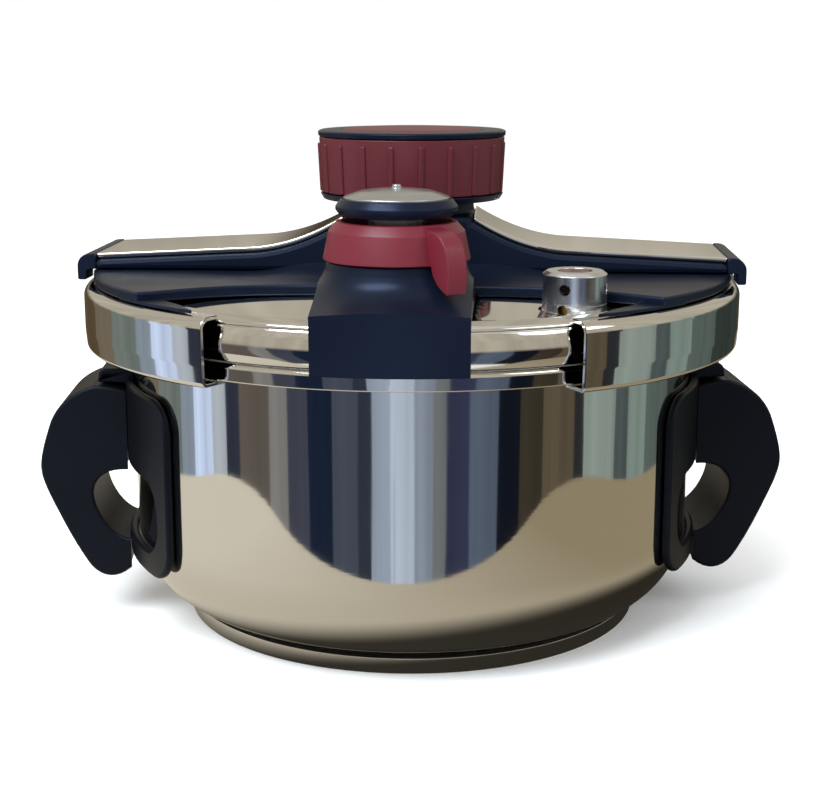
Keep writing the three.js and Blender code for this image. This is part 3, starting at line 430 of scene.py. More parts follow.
def cut(obj, tool, operation="DIFFERENCE"):
    """Cuts a piece with another one, or joins them, and removes the tool."""
    applied(obj, "BOOLEAN", operation=operation, object=tool, solver="EXACT")
    bpy.data.objects.remove(tool)
    return obj


def softened(obj, width, segments=3, angle=35, smooth=32):
    """Rounds a piece's sharp edges and shades the rest flat."""
    applied(obj, "BEVEL", width=width * MM, segments=segments, limit_method="ANGLE",
            angle_limit=math.radians(angle), harden_normals=False, miter_outer="MITER_ARC")
    bpy.ops.object.shade_smooth_by_angle(angle=math.radians(smooth))
    applied(obj, "WEIGHTED_NORMAL", keep_sharp=True, weight=80)
    return obj


def filled(name, points, push):
    """A closed flat outline, filled and pushed out to a solid."""
    made = drawn(name, points)
    bpy.ops.mesh.select_all(action="SELECT")
    bpy.ops.mesh.edge_face_add()
    bpy.ops.mesh.extrude_region_move(TRANSFORM_OT_translate={"value": Vector(push) * MM})
    finished()
    return made


def block(name, low, high):
    """A plain box between two corners, to be shaped further."""
    (x0, y0, z0), (x1, y1, z1) = low, high
    return filled(name, [(x0, y0, z0), (x1, y0, z0), (x1, y1, z0), (x0, y1, z0)], (0, 0, z1 - z0))


def moulded_plastic(name, code, light_code, roughness, grain_mm, gloss=0.5, sheen="#ffffff"):
    """Moulded nylon or ABS: a fine spark-eroded grain, and a slightly lighter worn bloom in patches."""
    made, tree, out = new_material(name)
    coords = add(tree, "ShaderNodeTexCoord")
    grain = add(tree, "ShaderNodeTexNoise", {
        "Vector": coords.outputs["Object"], "Scale": 1 / (grain_mm * MM), "Detail": 2.0,
    })
    bloom = add(tree, "ShaderNodeTexNoise", {
        "Vector": coords.outputs["Object"], "Scale": 16.0, "Detail": 5.0,
    })
    tone = add(tree, "ShaderNodeMix", {
        "Factor": bloom.outputs[0], "A": linear(code), "B": linear(light_code),
    }, data_type="RGBA")
    rough = add(tree, "ShaderNodeMapRange", {
        "Value": bloom.outputs[0], "From Min": 0.3, "From Max": 0.7,
        "To Min": roughness - 0.04, "To Max": roughness + 0.05,
    })
    bump = add(tree, "ShaderNodeBump", {"Height": grain.outputs[0], "Strength": 0.12, "Distance": 0.0001})
    skin = add(tree, "ShaderNodeBsdfPrincipled", {
        "Base Color": tone.outputs["Result"], "Roughness": rough.outputs[0], "Normal": bump.outputs[0],
        "Specular IOR Level": gloss, "Specular Tint": linear(sheen),
    })
    tree.links.new(skin.outputs[0], out.inputs["Surface"])
    return made


black_nylon = moulded_plastic("black_glass_filled_nylon", "#07080c", "#0c0e14", 0.4, 0.7, 0.26, "#b4c0dc")

plate_in, plate_t, plate_half, plate_low, plate_high = 112.4, 3.2, 65.0, 27.0, 97.0
window_half, window_low, window_high, plate_corner = 58.0, 36.0, 64.0, 12.0
hood_half, hood_top, hood_low = 19.0, 101.0, 95.0


def frame_loop(half, low, high, radius, along=34, up=6, turn=8):
    """A rounded rectangle in X and Z with evenly spread points, so that two of them bridge cleanly."""
    corners = [(half, low, -90), (half, high, 0), (-half, high, 90), (-half, low, 180)]
    points = []
    for index, (x, z, start) in enumerate(corners):
        cx = x - math.copysign(radius, x)
        cz = z + radius if z == low else z - radius
        for step in range(turn + 1):
            angle = math.radians(start + 90 * step / turn)
            points.append((cx + radius * math.cos(angle), 0, cz + radius * math.sin(angle)))
        nx, nz, nstart = corners[(index + 1) % 4]
        ncx = nx - math.copysign(radius, nx)
        ncz = nz + radius if nz == low else nz - radius
        end = Vector(points[-1])
        angle = math.radians(nstart)
        goal = Vector((ncx + radius * math.cos(angle), 0, ncz + radius * math.sin(angle)))
        count = up if index % 2 == 0 else along
        points += [tuple(end.lerp(goal, step / count)) for step in range(1, count)]
    return points


def arc_length(half):
    """How long half a chord of the pot's wall is, measured round the wall."""
    return plate_in * math.asin(half / plate_in)


plate_outer = frame_loop(arc_length(plate_half), plate_low, plate_high, plate_corner)
plate_inner = frame_loop(arc_length(window_half), window_low, window_high, plate_corner)
inner_edge = drawn("window_edge", plate_inner)
bpy.ops.object.mode_set(mode="OBJECT")
handle_base = drawn("handle_base_moulding_right", plate_outer)
bpy.ops.object.mode_set(mode="OBJECT")
inner_edge.select_set(True)
bpy.context.view_layer.objects.active = handle_base
bpy.ops.object.join()
bpy.ops.object.mode_set(mode="EDIT")
bpy.ops.mesh.select_all(action="SELECT")
bpy.ops.mesh.bridge_edge_loops()
bpy.ops.mesh.select_all(action="SELECT")
bpy.ops.mesh.extrude_region_move(TRANSFORM_OT_translate={"value": (0, -plate_t * MM, 0)})
finished()
softened(handle_base, 1.2, 4, 50)
applied(handle_base, "SIMPLE_DEFORM", deform_method="BEND", deform_axis="Z",
        angle=2 * arc_length(plate_half) / plate_in)
settled(handle_base, 0, (0, -plate_in, 0))
settled(handle_base, 90)

hood = filled("hood", [(x, -hood_half, z) for x, z in rounded([
    (110, hood_low), (125, hood_low + 0.6, 0.8), (124, hood_top, 2.5), (110, hood_top),
])], (0, 2 * hood_half, 0))
softened(hood, 1.6, 4, 60)
cut(hood, turned("wall_space", [(0, 80), (plate_in, 80), (plate_in, 110), (0, 110)], 160))
cut(handle_base, hood, "UNION")
bpy.context.view_layer.objects.active = handle_base
bpy.ops.object.select_all(action="DESELECT")
handle_base.select_set(True)
bpy.ops.object.shade_smooth_by_angle(angle=math.radians(32))
handle_base.data.materials.clear()
handle_base.data.materials.append(black_nylon)


def copied(obj, name, turn):
    """A copy of a piece with its own mesh, turned round Z."""
    made = obj.copy()
    made.data = obj.data.copy()
    made.name = made.data.name = name
    bpy.context.collection.objects.link(made)
    return settled(made, turn)


handle_base_left = copied(handle_base, "handle_base_moulding_left", 180 + HANDLE_TURN)
settled(handle_base, HANDLE_TURN)
for side, moulding in (("right", handle_base), ("left", handle_base_left)):
    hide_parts("handle_base_" + side)
    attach(moulding, "pot")


# ---- Handle grips ----
# A thick hollow-backed grip in the same nylon, flat on its two ends and crowned on its outside.
# The fingers go through the tunnel between it and the wall, and the hood of the base covers its top.
grip_half, grip_round, grip_in = 22.0, 4.4, 115.9


def curve(*knots, steps=10):
    """Points along bezier stretches, each given as its two handles and its end, in X and Z."""
    points = [knots[0]]
    for first, second, end in knots[1:]:
        start = points[-1]
        stretch = interpolate_bezier(
            Vector((*start, 0)), Vector((*first, 0)), Vector((*second, 0)), Vector((*end, 0)), steps
        )
        points += [(p.x, p.y) for p in stretch[1:]]
    return points


grip_outside = curve(
    (104, 88), ((110, 92.5), (118, 94.5), (126, 94.8)), ((134, 92.6), (140, 88.5), (143.6, 80.5)),
    ((145.6, 75), (148.3, 67), (148.3, 62)), ((148.3, 57.5), (146, 52), (142.6, 44.5)),
    ((139, 36.5), (136.2, 30.5), (131.6, 23)), ((127.4, 15.8), (120.6, 14.4), (114.4, 19.6)),
    ((111, 22.4), (107.5, 26), (104, 30)),
)
tunnel = curve(
    (104, 32), ((110, 32), (113, 32), (116, 32.4)), ((122.5, 34.5), (128, 44.5), (128, 51)),
    ((128, 56.5), (123.5, 60.3), (117, 60.5)), ((112, 60.5), (108, 60.5), (104, 60.5)),
)
grip = filled("handle_grip_moulding_right", [(x, -grip_half, z) for x, z in [*grip_outside, *tunnel]],
              (0, 2 * grip_half, 0))
softened(grip, grip_round, 6, 60)
cut(grip, turned("wall_space", [(0, 0), (grip_in, 0), (grip_in, 120), (0, 120)], 160))
notch = block("notch", (90, -hood_half - 0.3, 94.6), (126.2, hood_half + 0.3, 110))
cut(grip, notch)
tongue = block("tongue", (100, -7.3, 73.7), (130.6, 7.3, 76.3))
cut(grip, tongue)
screw_x = 122.1
screw_hole = turned("screw_hole", [(0, 58), (4.8, 58), (4.8, 69.8), (2.9, 69.8), (2.9, 85), (0, 85)], 40)
cut(grip, settled(screw_hole, 0, (screw_x, 0, 0)))
bpy.ops.object.select_all(action="DESELECT")
grip.select_set(True)
bpy.context.view_layer.objects.active = grip
bpy.ops.object.shade_smooth_by_angle(angle=math.radians(32))
grip.data.materials.clear()
grip.data.materials.append(black_nylon)
grip_left = copied(grip, "handle_grip_moulding_left", 180 + HANDLE_TURN)
settled(grip, HANDLE_TURN)
for side, moulding in (("right", grip), ("left", grip_left)):
    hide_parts("handle_grip_" + side)
    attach(moulding, "pot")


# ---- Lid ----
# A pressed stainless dish: a flat sunk middle, a raised ring round it, and a wall that drops over the gasket.
# A formed skirt is welded to the wall at the front and the back, and runs in behind the ends of the jaws.
lid_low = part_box("lid")[0].z / MM
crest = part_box("lid")[1].z / MM
lid_top = crest - 2.0
crest_r, lid_edge_r, skirt_r, skirt_half = 116.0, 121.8, 124.0, 66.0

lid = turned("lid_pressing", rounded([
    (0, lid_top - sheet), (crest_r - 2.4, lid_top - sheet, 1.6), (crest_r - 0.8, crest - sheet, 0.9),
    (lid_edge_r - sheet, lid_top - 1.0, 1.6), (lid_edge_r - sheet, lid_low, 0.3), (lid_edge_r, lid_low, 0.3),
    (lid_edge_r, lid_top + 0.4, 1.7), (crest_r + 0.6, crest, 2.2), (crest_r - 1.4, crest - 0.15, 0.7),
    (crest_r - 2.8, lid_top, 1.2), (0, lid_top),
]), steps=220)
skirt_turn = 2 * math.degrees(math.asin(skirt_half / skirt_r))
for middle in (-90, 90):
    skirt = turned("skirt", rounded([
        (lid_edge_r - 0.6, lid_low), (skirt_r - 0.9, lid_low, 0.6), (skirt_r + 0.15, lid_low + 3.5, 7),
        (skirt_r + 0.1, lid_top - 7.5, 9), (skirt_r - 0.7, lid_top - 3.6, 2.5),
        (lid_edge_r + 0.5, lid_top - 1.2, 0.8), (lid_edge_r - 0.6, lid_top - 0.9),
    ]), steps=72, turn=skirt_turn)
    softened(skirt, 0.5, 3, 60)
    settled(skirt, middle - skirt_turn / 2)
    cut(lid, skirt, "UNION")

# Two pressed swells fill the lid's middle up to the wings. They stay clear of the valve block, the cage and
# the jaws' arms.
swell = turned("swell", [
    (56, lid_top - 0.5), (112.8, lid_top - 0.5),
    *reversed(curve((56, crest), ((76, crest), (98, crest - 0.5), (112.8, lid_top + 0.6)), steps=16)),
], steps=200)
cut(swell, block("arms_place", (-140, -52, 100), (140, 52, 160)))
cut(swell, block("valve_place", (-27.4, -140, 100), (27.4, -50, 160)))
cage_low, cage_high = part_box("valve_cage")
cage_x, cage_y = (cage_low.x + cage_high.x) / 2 / MM, (cage_low.y + cage_high.y) / 2 / MM
cage_place = turned("cage_place", [(0, 100), (12.0, 100), (12.0, 160), (0, 160)], 64)
cut(swell, settled(cage_place, 0, (cage_x, cage_y, 0)))
cut(lid, swell, "UNION")
bpy.context.view_layer.objects.active = lid
lid.select_set(True)
bpy.ops.object.shade_smooth_by_angle(angle=math.radians(32))

# The same polish for the lid. On level faces the shading leans outwards by up to 11 degrees, more than the
# mesh does, so that it mirrors the walls and not the underside of the wings and the bar.
crowned_steel, tree, out = new_material("polished_crowned_steel")
coords = add(tree, "ShaderNodeTexCoord")
place = add(tree, "ShaderNodeNewGeometry")
outward = add(tree, "ShaderNodeVectorMath", {0: coords.outputs["Object"], 1: (1, 1, 0)}, operation="MULTIPLY")
outward = add(tree, "ShaderNodeVectorMath", {0: outward.outputs[0]}, operation="NORMALIZE")
facing = add(tree, "ShaderNodeSeparateXYZ", {"Vector": place.outputs["Normal"]})
crown = add(tree, "ShaderNodeMapRange", {
    "Value": facing.outputs["Z"], "From Min": 0.9, "From Max": 0.99, "To Min": 0.0, "To Max": 0.19,
})
lean = add(tree, "ShaderNodeVectorMath", {
    0: outward.outputs[0], "Scale": crown.outputs[0],
}, operation="SCALE")
leaning = add(tree, "ShaderNodeVectorMath", {0: place.outputs["Normal"], 1: lean.outputs[0]}, operation="ADD")
normal = add(tree, "ShaderNodeVectorMath", {0: leaning.outputs[0]}, operation="NORMALIZE")
haze = add(tree, "ShaderNodeTexNoise", {"Vector": coords.outputs["Object"], "Scale": 28.0, "Detail": 4.0})
rough = add(tree, "ShaderNodeMapRange", {
    "Value": haze.outputs[0], "From Min": 0.35, "From Max": 0.8, "To Min": 0.04, "To Max": 0.1,
})
metal = add(tree, "ShaderNodeBsdfPrincipled", {
    "Base Color": linear("#e6e4df"), "Metallic": 1.0, "Roughness": rough.outputs[0],
    "Normal": normal.outputs[0],
})
tree.links.new(metal.outputs[0], out.inputs["Surface"])
lid.data.materials.clear()
lid.data.materials.append(crowned_steel)
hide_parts("lid")
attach(lid, "lid")


# ---- Gasket ----
# A grey silicone ring of U section, pushed into the lid's wall by hand. Two soft lips face inwards.
gasket_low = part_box("gasket")[0].z / MM
gasket_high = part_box("gasket")[1].z / MM
gasket_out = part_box("gasket")[1].x / MM
gasket = turned("silicone_gasket", rounded([
    (gasket_out - 6.5, gasket_low, 0.8), (gasket_out, gasket_low, 1.2), (gasket_out, gasket_high, 1.2),
    (gasket_out - 6.5, gasket_high, 0.8), (gasket_out - 6.5, gasket_high - 2.2, 0.8),
    (gasket_out - 2.5, gasket_high - 2.6, 1.5), (gasket_out - 2.5, gasket_low + 2.6, 1.5),
    (gasket_out - 6.5, gasket_low + 2.2, 0.8),
], degrees=20), steps=160)

# Silicone rubber: soft, slightly see-through at thin lips, with a dusty bloom and no clear reflections.
silicone, tree, out = new_material("grey_silicone_rubber")
coords = add(tree, "ShaderNodeTexCoord")
dust = add(tree, "ShaderNodeTexNoise", {"Vector": coords.outputs["Object"], "Scale": 60.0, "Detail": 4.0})
tone = add(tree, "ShaderNodeMix", {
    "Factor": dust.outputs[0], "A": linear("#a9aaa8"), "B": linear("#c2c3c0"),
}, data_type="RGBA")
bump = add(tree, "ShaderNodeBump", {"Height": dust.outputs[0], "Strength": 0.1, "Distance": 0.0002})
rubber = add(tree, "ShaderNodeBsdfPrincipled", {
    "Base Color": tone.outputs["Result"], "Roughness": 0.62, "IOR": 1.42, "Normal": bump.outputs[0],
    "Subsurface Weight": 0.1, "Subsurface Radius": (0.002, 0.002, 0.002),
})
tree.links.new(rubber.outputs[0], out.inputs["Surface"])
gasket.data.materials.append(silicone)
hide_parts("gasket")
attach(gasket, "lid")


# ---- Jaws ----
# Two C-shaped stainless clamps, each bent round 120 degrees of the rim. The upper lip bears on the lid
# and the lower lip hooks under the pot's rim. Their edges are broken, and their ends show how thick they are.
jaw_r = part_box("jaw_right")[1].x / MM
jaw_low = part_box("jaw_right")[0].z / MM
jaw_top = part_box("jaw_right")[1].z / MM
jaw_half_angle, lip_top_r, lip_low_r = 60.0, 120.8, 117.5
jaw_in = jaw_r - sheet
jaw = turned("jaw_pressing_right", rounded([
    (lip_low_r, jaw_low, 0.4), (jaw_r - 0.6, jaw_low, 2.4), (jaw_r, jaw_low + 8, 12), (jaw_r, jaw_top, 4.4),
    (lip_top_r, jaw_top, 0.5), (lip_top_r, jaw_top - sheet, 0.5), (jaw_in, jaw_top - sheet, 3.0),
    (jaw_in - 0.6, jaw_low + sheet, 1.0), (lip_low_r, jaw_low + sheet, 0.4),
]), steps=140, turn=2 * jaw_half_angle)
softened(jaw, 0.35, 2, 70)
settled(jaw, -jaw_half_angle)
jaw.data.materials.append(polished_steel)
jaw_left = copied(jaw, "jaw_pressing_left", 180)
for side, pressing in (("right", jaw), ("left", jaw_left)):
    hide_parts("jaw_" + side)
    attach(pressing, "jaw_" + side)
    for hidden in ("arm_", "cam_pin_", "jaw_rivet_front_", "jaw_rivet_back_"):
        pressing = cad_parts[hidden + side]
        pressing.data.materials.clear()
        pressing.data.materials.append(satin_steel)


# ---- Lower housing ----
# One nylon moulding screwed to the lid from below. Two wings spread from a waist to the rim and end in thin
# tails along the jaws, and a hollow shoulder leads up to the bar. The arms and the cam run under it.
bar_half = 25.6
wing_r, wing_t, waist, wing_edge, tail_angle, tail_t = 126.0, 4.0, 61.5, 88.0, 56.5, 1.2
housing_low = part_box("lower_housing")[0].z / MM
wing_top = housing_low + wing_t
arm_side, arm_top = 14.6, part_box("arm_right")[1].z / MM
cam_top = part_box("cam_disc")[1].z / MM

quarter = curve(
    (0, waist), ((10, waist), (20, waist), (32, waist)),
    ((52, waist + 0.4), (64, waist + 4), (76, waist + 11.5)),
    ((86, waist + 17.5), (93, waist + 25.8), (106, wing_edge)), steps=8,
) + [(wing_r + 14, wing_edge)]
plan = [(x, -y) for x, y in quarter] + [(x, y) for x, y in reversed(quarter)]
plan += [(-x, y) for x, y in quarter[1:]] + [(-x, -y) for x, y in reversed(quarter)][:-1]
housing = filled("lower_housing_moulding", [(x, y, housing_low) for x, y in plan], (0, 0, wing_t))
cut(housing, turned("wing_end", [(0, 100), (wing_r, 100), (wing_r, 170), (0, 170)], 200), "INTERSECT")
softened(housing, 1.0, 4, 50)

for x_side in (1, -1):
    for y_side in (1, -1):
        tail = []
        for step in range(19):
            angle = math.radians(36 + (tail_angle - 36) * step / 18)
            reach = 1 / math.hypot(math.cos(angle) / (wing_r - 17.5), math.sin(angle) / (wing_r + 3.6))
            reach += (wing_r - 0.6 - reach) * max(0, (step - 12) / 6) ** 2
            tail.append((angle, reach))
        inner_line = [(r * math.cos(a), r * math.sin(a)) for a, r in tail]
        outer_line = [(wing_r * math.cos(a), wing_r * math.sin(a)) for a, r in reversed(tail)]
        line = [(x * x_side, y * y_side, housing_low) for x, y in inner_line + outer_line]
        crescent = filled("tail", line, (0, 0, tail_t))
        softened(crescent, 0.35, 2, 50)
        cut(housing, crescent, "UNION")

shoulder = curve(
    (waist - 8, wing_top - 0.4),
    ((waist - 18, wing_top), (bar_half + 6, wing_top + 1.6), (bar_half + 0.05, 143)),
    steps=14,
)
saddle_end, saddle_steps = 112.0, 56
saddle = drawn("saddle", [(-saddle_end, -y, z) for y, z in shoulder] + [
    (-saddle_end, y, z) for y, z in reversed(shoulder)])
bpy.ops.mesh.select_all(action="SELECT")
bpy.ops.mesh.edge_face_add()
for step in range(saddle_steps):
    bpy.ops.mesh.extrude_region_move(
        TRANSFORM_OT_translate={"value": (2 * saddle_end * MM / saddle_steps, 0, 0)})
finished()
for vertex in saddle.data.vertices:
    away = max(0.0, min(1.0, (abs(vertex.co.x) / MM - 34) / 28))
    sink = away * away * (3 - 2 * away)
    over = vertex.co.z - wing_top * MM
    if over > 0:
        vertex.co.z = wing_top * MM + over * (1 - 0.94 * sink)
cut(housing, saddle, "UNION")
cut(housing, block("bar_space", (-140, -bar_half - 0.3, wing_top), (140, bar_half + 0.3, 170)))
cut(housing, block("channel", (-140, -arm_side, 130), (140, arm_side, arm_top + 0.3)))
for x_side in (1, -1):
    ends = sorted((x_side * (jaw_r - 18), x_side * 140))
    cut(housing, block("mouth", (ends[0], -arm_side, 130), (ends[1], arm_side, 145)))
cut(housing, turned("cam_space", [(0, 130), (32, 130), (32, cam_top + 0.6), (0, cam_top + 0.6)], 80))
bpy.ops.object.select_all(action="DESELECT")
housing.select_set(True)
bpy.context.view_layer.objects.active = housing
bpy.ops.object.shade_smooth_by_angle(angle=math.radians(30))
navy_nylon = moulded_plastic("navy_black_nylon", "#080d18", "#0c1322", 0.34, 0.6, 0.36, "#a2b4e0")
housing.data.materials.clear()
housing.data.materials.append(navy_nylon)
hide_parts("lower_housing")
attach(housing, "lid")
for hidden in ("front_right", "front_left", "back_right", "back_left"):
    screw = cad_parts["housing_screw_" + hidden]
    screw.data.materials.clear()
    screw.data.materials.append(satin_steel)


# ---- Bridge housing ----
# The bar over the lid, another nylon moulding. It sweeps up to a round stem under the knob, is rebated for
# the steel trims, and has a rounded cap at each end that hides the jaw's rivets.
bar_low = wing_top + 0.3
bar_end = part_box("bridge_housing")[1].x / MM
stem_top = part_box("bridge_housing")[1].z / MM
stem_r, bar_top_end, bar_crest, hump_half, hump_foot = 24.5, 145.5, 161.0, 25.2, 62.0
bar_slope, trim_out, trim_t, trim_side, trim_edge = 3.0, bar_end - 7, 1.2, 2.2, 2.2
trim_half = bar_half - trim_edge


def bar_top(x):
    """Height of the trim's top along the bar: a slow climb, then a hollow sweep up to the stem."""
    slope = bar_slope / (trim_out - hump_foot)
    foot = bar_top_end + 0.2 + bar_slope
    if x >= hump_foot:
        return bar_top_end + 0.2 + slope * (trim_out - x)
    t = (hump_foot - x) / (hump_foot - hump_half)
    return foot + (bar_crest - foot) * t * t + slope * (hump_foot - x) * (1 - t)


def bar_curve(start, end, drop, steps=36):
    """Points under the bar's top, by a fixed drop."""
    along = [start + (end - start) * step / steps for step in range(steps + 1)]
    return [(x, bar_top(x) - drop) for x in along]


bridge = block(
    "bridge_moulding", (-hump_half + 0.3, -bar_half, bar_low), (hump_half - 0.3, bar_half, bar_crest),
)
softened(bridge, trim_edge, 2, 50)
for x_side in (1, -1):
    low_side = [(-8, bar_low), (trim_out, bar_low), *bar_curve(trim_out, hump_half, trim_side + 0.3)]
    low_side += [(-8, bar_crest - trim_side - 0.3)]
    high_side = [(0, bar_low + 2), (trim_out, bar_low + 2), *bar_curve(trim_out, hump_half, trim_t + 0.3)]
    high_side += [(0, bar_crest - trim_t - 0.3)]
    lip, foot = wing_r + 0.6, crest + 0.4
    end_cap = rounded([
        (trim_out - 0.4, bar_low), (lip, bar_low), (lip, foot), (bar_end, foot, 0.8),
        (bar_end, bar_top_end, 5.0), (trim_out + 0.3, bar_top_end + 0.25, 0.5),
        (trim_out - 0.4, bar_top_end - 2),
    ])
    for name, shape, half, soft in (
        ("bar", low_side, bar_half, trim_edge), ("rebate", high_side, trim_half - trim_t - 0.3, 0),
        ("end_cap", end_cap, bar_half, trim_edge),
    ):
        part = filled(name, [(x * x_side, -half, z) for x, z in shape], (0, 2 * half, 0))
        if soft:
            softened(part, soft, 2, 50)
        cut(bridge, part, "UNION")
cut(bridge, turned("stem", rounded([
    (0, bar_crest - 2), (stem_r + 2, bar_crest - 2), (stem_r + 0.4, bar_crest + 0.4, 1.5),
    (stem_r, stem_top, 0.6), (0, stem_top),
]), 96), "UNION")
cut(bridge, turned("spindle_space", [(0, 130), (9, 130), (9, 200), (0, 200)], 64))
cut(bridge, turned("cam_space", [(0, 130), (32, 130), (32, cam_top + 0.6), (0, cam_top + 0.6)], 80))
cut(bridge, block("arm_space", (-jaw_r, -arm_side, 130), (jaw_r, arm_side, wing_top + 1)))
bpy.ops.object.select_all(action="DESELECT")
bridge.select_set(True)
bpy.context.view_layer.objects.active = bridge
bpy.ops.object.shade_smooth_by_angle(angle=math.radians(30))
bridge.data.materials.clear()
bridge.data.materials.append(navy_nylon)
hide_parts("bridge_housing")
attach(bridge, "lid")


# ---- Steel trims ----
# Two bright stainless covers, 1.2 mm thick, pressed over the bar. Each wraps down the sides and clips under.
trim = filled("trim_pressing_right", [(x, -trim_half, z) for x, z in [
    *bar_curve(trim_out, hump_half, 0, 60), *bar_curve(hump_half, trim_out, trim_side, 60),
]], (0, 2 * trim_half, 0))
softened(trim, 1.0, 4, 60)
inside = filled("trim_inside", [(x, -trim_half + trim_t, z) for x, z in [
    *bar_curve(trim_out + 1, hump_half - 1, trim_t, 60),
    *bar_curve(hump_half - 1, trim_out + 1, trim_side + 5, 60),
]], (0, 2 * (trim_half - trim_t), 0))
cut(trim, inside)
bpy.ops.object.shade_smooth_by_angle(angle=math.radians(30))
trim.data.materials.clear()
trim.data.materials.append(polished_steel)
trim_left = copied(trim, "trim_pressing_left", 180)
for side, pressing in (("right", trim), ("left", trim_left)):
    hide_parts("trim_" + side)
    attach(pressing, "lid")


# ---- Valve housing ----
# A nylon block that hangs over the lid's edge at the front. Its top sweeps up in a hollow curve to a round
# collar, and its face is flat across and follows the rim.
valve_y = -88.0
collar_r, block_side = 24.5, 2.3
block_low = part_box("valve_housing")[0].z / MM
collar_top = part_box("valve_housing")[1].z / MM
block_r, block_half, block_top = 127.0, collar_r + block_side, collar_top - 15
block_back = valve_y + collar_r + 1.3

valve_block = block("valve_block", (-block_half, -140, block_low), (block_half, block_back, block_top - 1))
hollow = curve(
    (collar_r + 40, block_top - 1.5), ((collar_r + 32, block_top - 1.4), (collar_r + 27, block_top - 0.9),
                                       (collar_r + 22.5, block_top)),
    ((collar_r + 12.5, block_top + 2.6), (collar_r + 2.6, block_top + 4.6), (collar_r + 0.5, block_top + 12)),
    ((collar_r + 0.3, block_top + 13), (collar_r, block_top + 14), (collar_r - 0.2, collar_top - 0.3)),
    steps=14,
)
sweep = turned("sweep", [(0, block_top - 4), (collar_r + 40, block_top - 4), *hollow,
                         (collar_r - 0.6, collar_top), (0, collar_top)], 128)
settled(sweep, 0, (0, valve_y, 0))
cut(sweep, block("plan", (-block_half, -140, 120), (block_half, block_back, 170)), "INTERSECT")
cut(valve_block, sweep, "UNION")
cut(valve_block, turned("front_face", [(0, 100), (block_r, 100), (block_r, 170), (0, 170)], 360), "INTERSECT")
softened(valve_block, 1.6, 4, 55)
cut(valve_block, turned("lid_space", rounded([
    (0, 100), (skirt_r + 0.5, 100), (skirt_r + 0.5, lid_top - 4), (lid_edge_r + 1, lid_top - 0.2),
    (crest_r + 1.4, crest + 0.3), (crest_r - 1.6, crest + 0.3), (crest_r - 3.4, lid_top + 0.3),
    (0, lid_top + 0.3),
]), 240))
bore = turned("weight_space", [(0, 120), (18, 120), (18, 170), (0, 170)], 64)
cut(valve_block, settled(bore, 0, (0, valve_y, 0)))
bpy.ops.object.shade_smooth_by_angle(angle=math.radians(30))
valve_block.data.materials.clear()
valve_block.data.materials.append(navy_nylon)
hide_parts("valve_housing")
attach(valve_block, "lid")


# ---- Selector ring ----
# A red glass-filled nylon ring that turns round the valve's collar, with a curved lever for one finger.
red_nylon = moulded_plastic("red_nylon", "#591220", "#631a28", 0.38, 0.6, 0.4)
selector_low = collar_top + 0.4
ring_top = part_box("selector_ring")[1].z / MM
ring_bore, ring_height, lever_angle, lever_half = collar_r - 5.5, ring_top - collar_top, -52.0, 3.9
selector = turned("selector_moulding", rounded([
    (ring_bore, selector_low), (collar_r + 1.3, selector_low, 0.4), (collar_r - 0.8, ring_top - 3.4, 0.6),
    (collar_r - 3.6, ring_top - 0.2, 0.7), (ring_bore, ring_top, 0.4),
]), 128)
lever_shape = [(collar_r + out_by, collar_top + up_by) for out_by, up_by in curve(
    (-4.5, 1), ((-2, 0.8), (0, 0.7), (1.4, 0.6)), ((1.8, -2.6), (4.4, -5.4), (7.6, -7.0)),
    ((8.8, -7.6), (9.8, -8.0), (10.9, -8.2)),
    ((12.2, -1.5), (11.6, ring_height - 5.4), (5.5, ring_height - 2.6)),
    ((2.5, ring_height - 1.4), (-1, ring_height - 0.9), (-4.5, ring_height - 0.8)),
)]
lever = filled("lever", [(x, -lever_half, z) for x, z in lever_shape], (0, 2 * lever_half, 0))
softened(lever, 0.9, 4, 60)
settled(lever, lever_angle)
cut(selector, lever, "UNION")
cut(selector, turned("ring_bore", [(0, 120), (ring_bore, 120), (ring_bore, 180), (0, 180)], 128))
bpy.ops.object.shade_smooth_by_angle(angle=math.radians(30))
settled(selector, 0, (0, valve_y, 0))
selector.data.materials.clear()
selector.data.materials.append(red_nylon)
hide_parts("selector_ring")
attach(selector, "selector")


# ---- Regulator ----
# A steel weight sits on the nozzle. A black moulded disc and a satin steel cap with a small pip cover it.
weight_top = ring_top + 0.6
disc_top = weight_top + 7
disc_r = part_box("regulator_disc")[1].x / MM
regulator = turned("regulator_disc_moulding", rounded([
    (5.3, weight_top + 1.2), (disc_r - 1.6, weight_top + 1.2, 0.6), (disc_r, weight_top + 3.2, 0.8),
    (disc_r, weight_top + 4.4, 0.8), (disc_r - 1.9, disc_top, 0.8), (disc_r - 2.6, disc_top, 0.2),
    (disc_r - 2.6, disc_top - 0.6), (5.3, disc_top - 0.6),
]), 128)
settled(regulator, 0, (0, valve_y, 0))
regulator.data.materials.append(navy_nylon)
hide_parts("regulator_disc")
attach(regulator, "regulator")

cap_edge = disc_r - 2.8
regulator_cap = turned("regulator_cap_turning", rounded([
    (0, disc_top - 0.3), (cap_edge, disc_top - 0.3), (cap_edge, disc_top + 0.5, 0.4),
    (cap_edge - 5.4, disc_top + 2.5, 11.0), (5.6, disc_top + 3.3, 3.0), (1.7, disc_top + 3.4, 0.3),
    (1.5, disc_top + 4.7, 0.6), (0, disc_top + 4.7),
]), 128)
settled(regulator_cap, 0, (0, valve_y, 0))

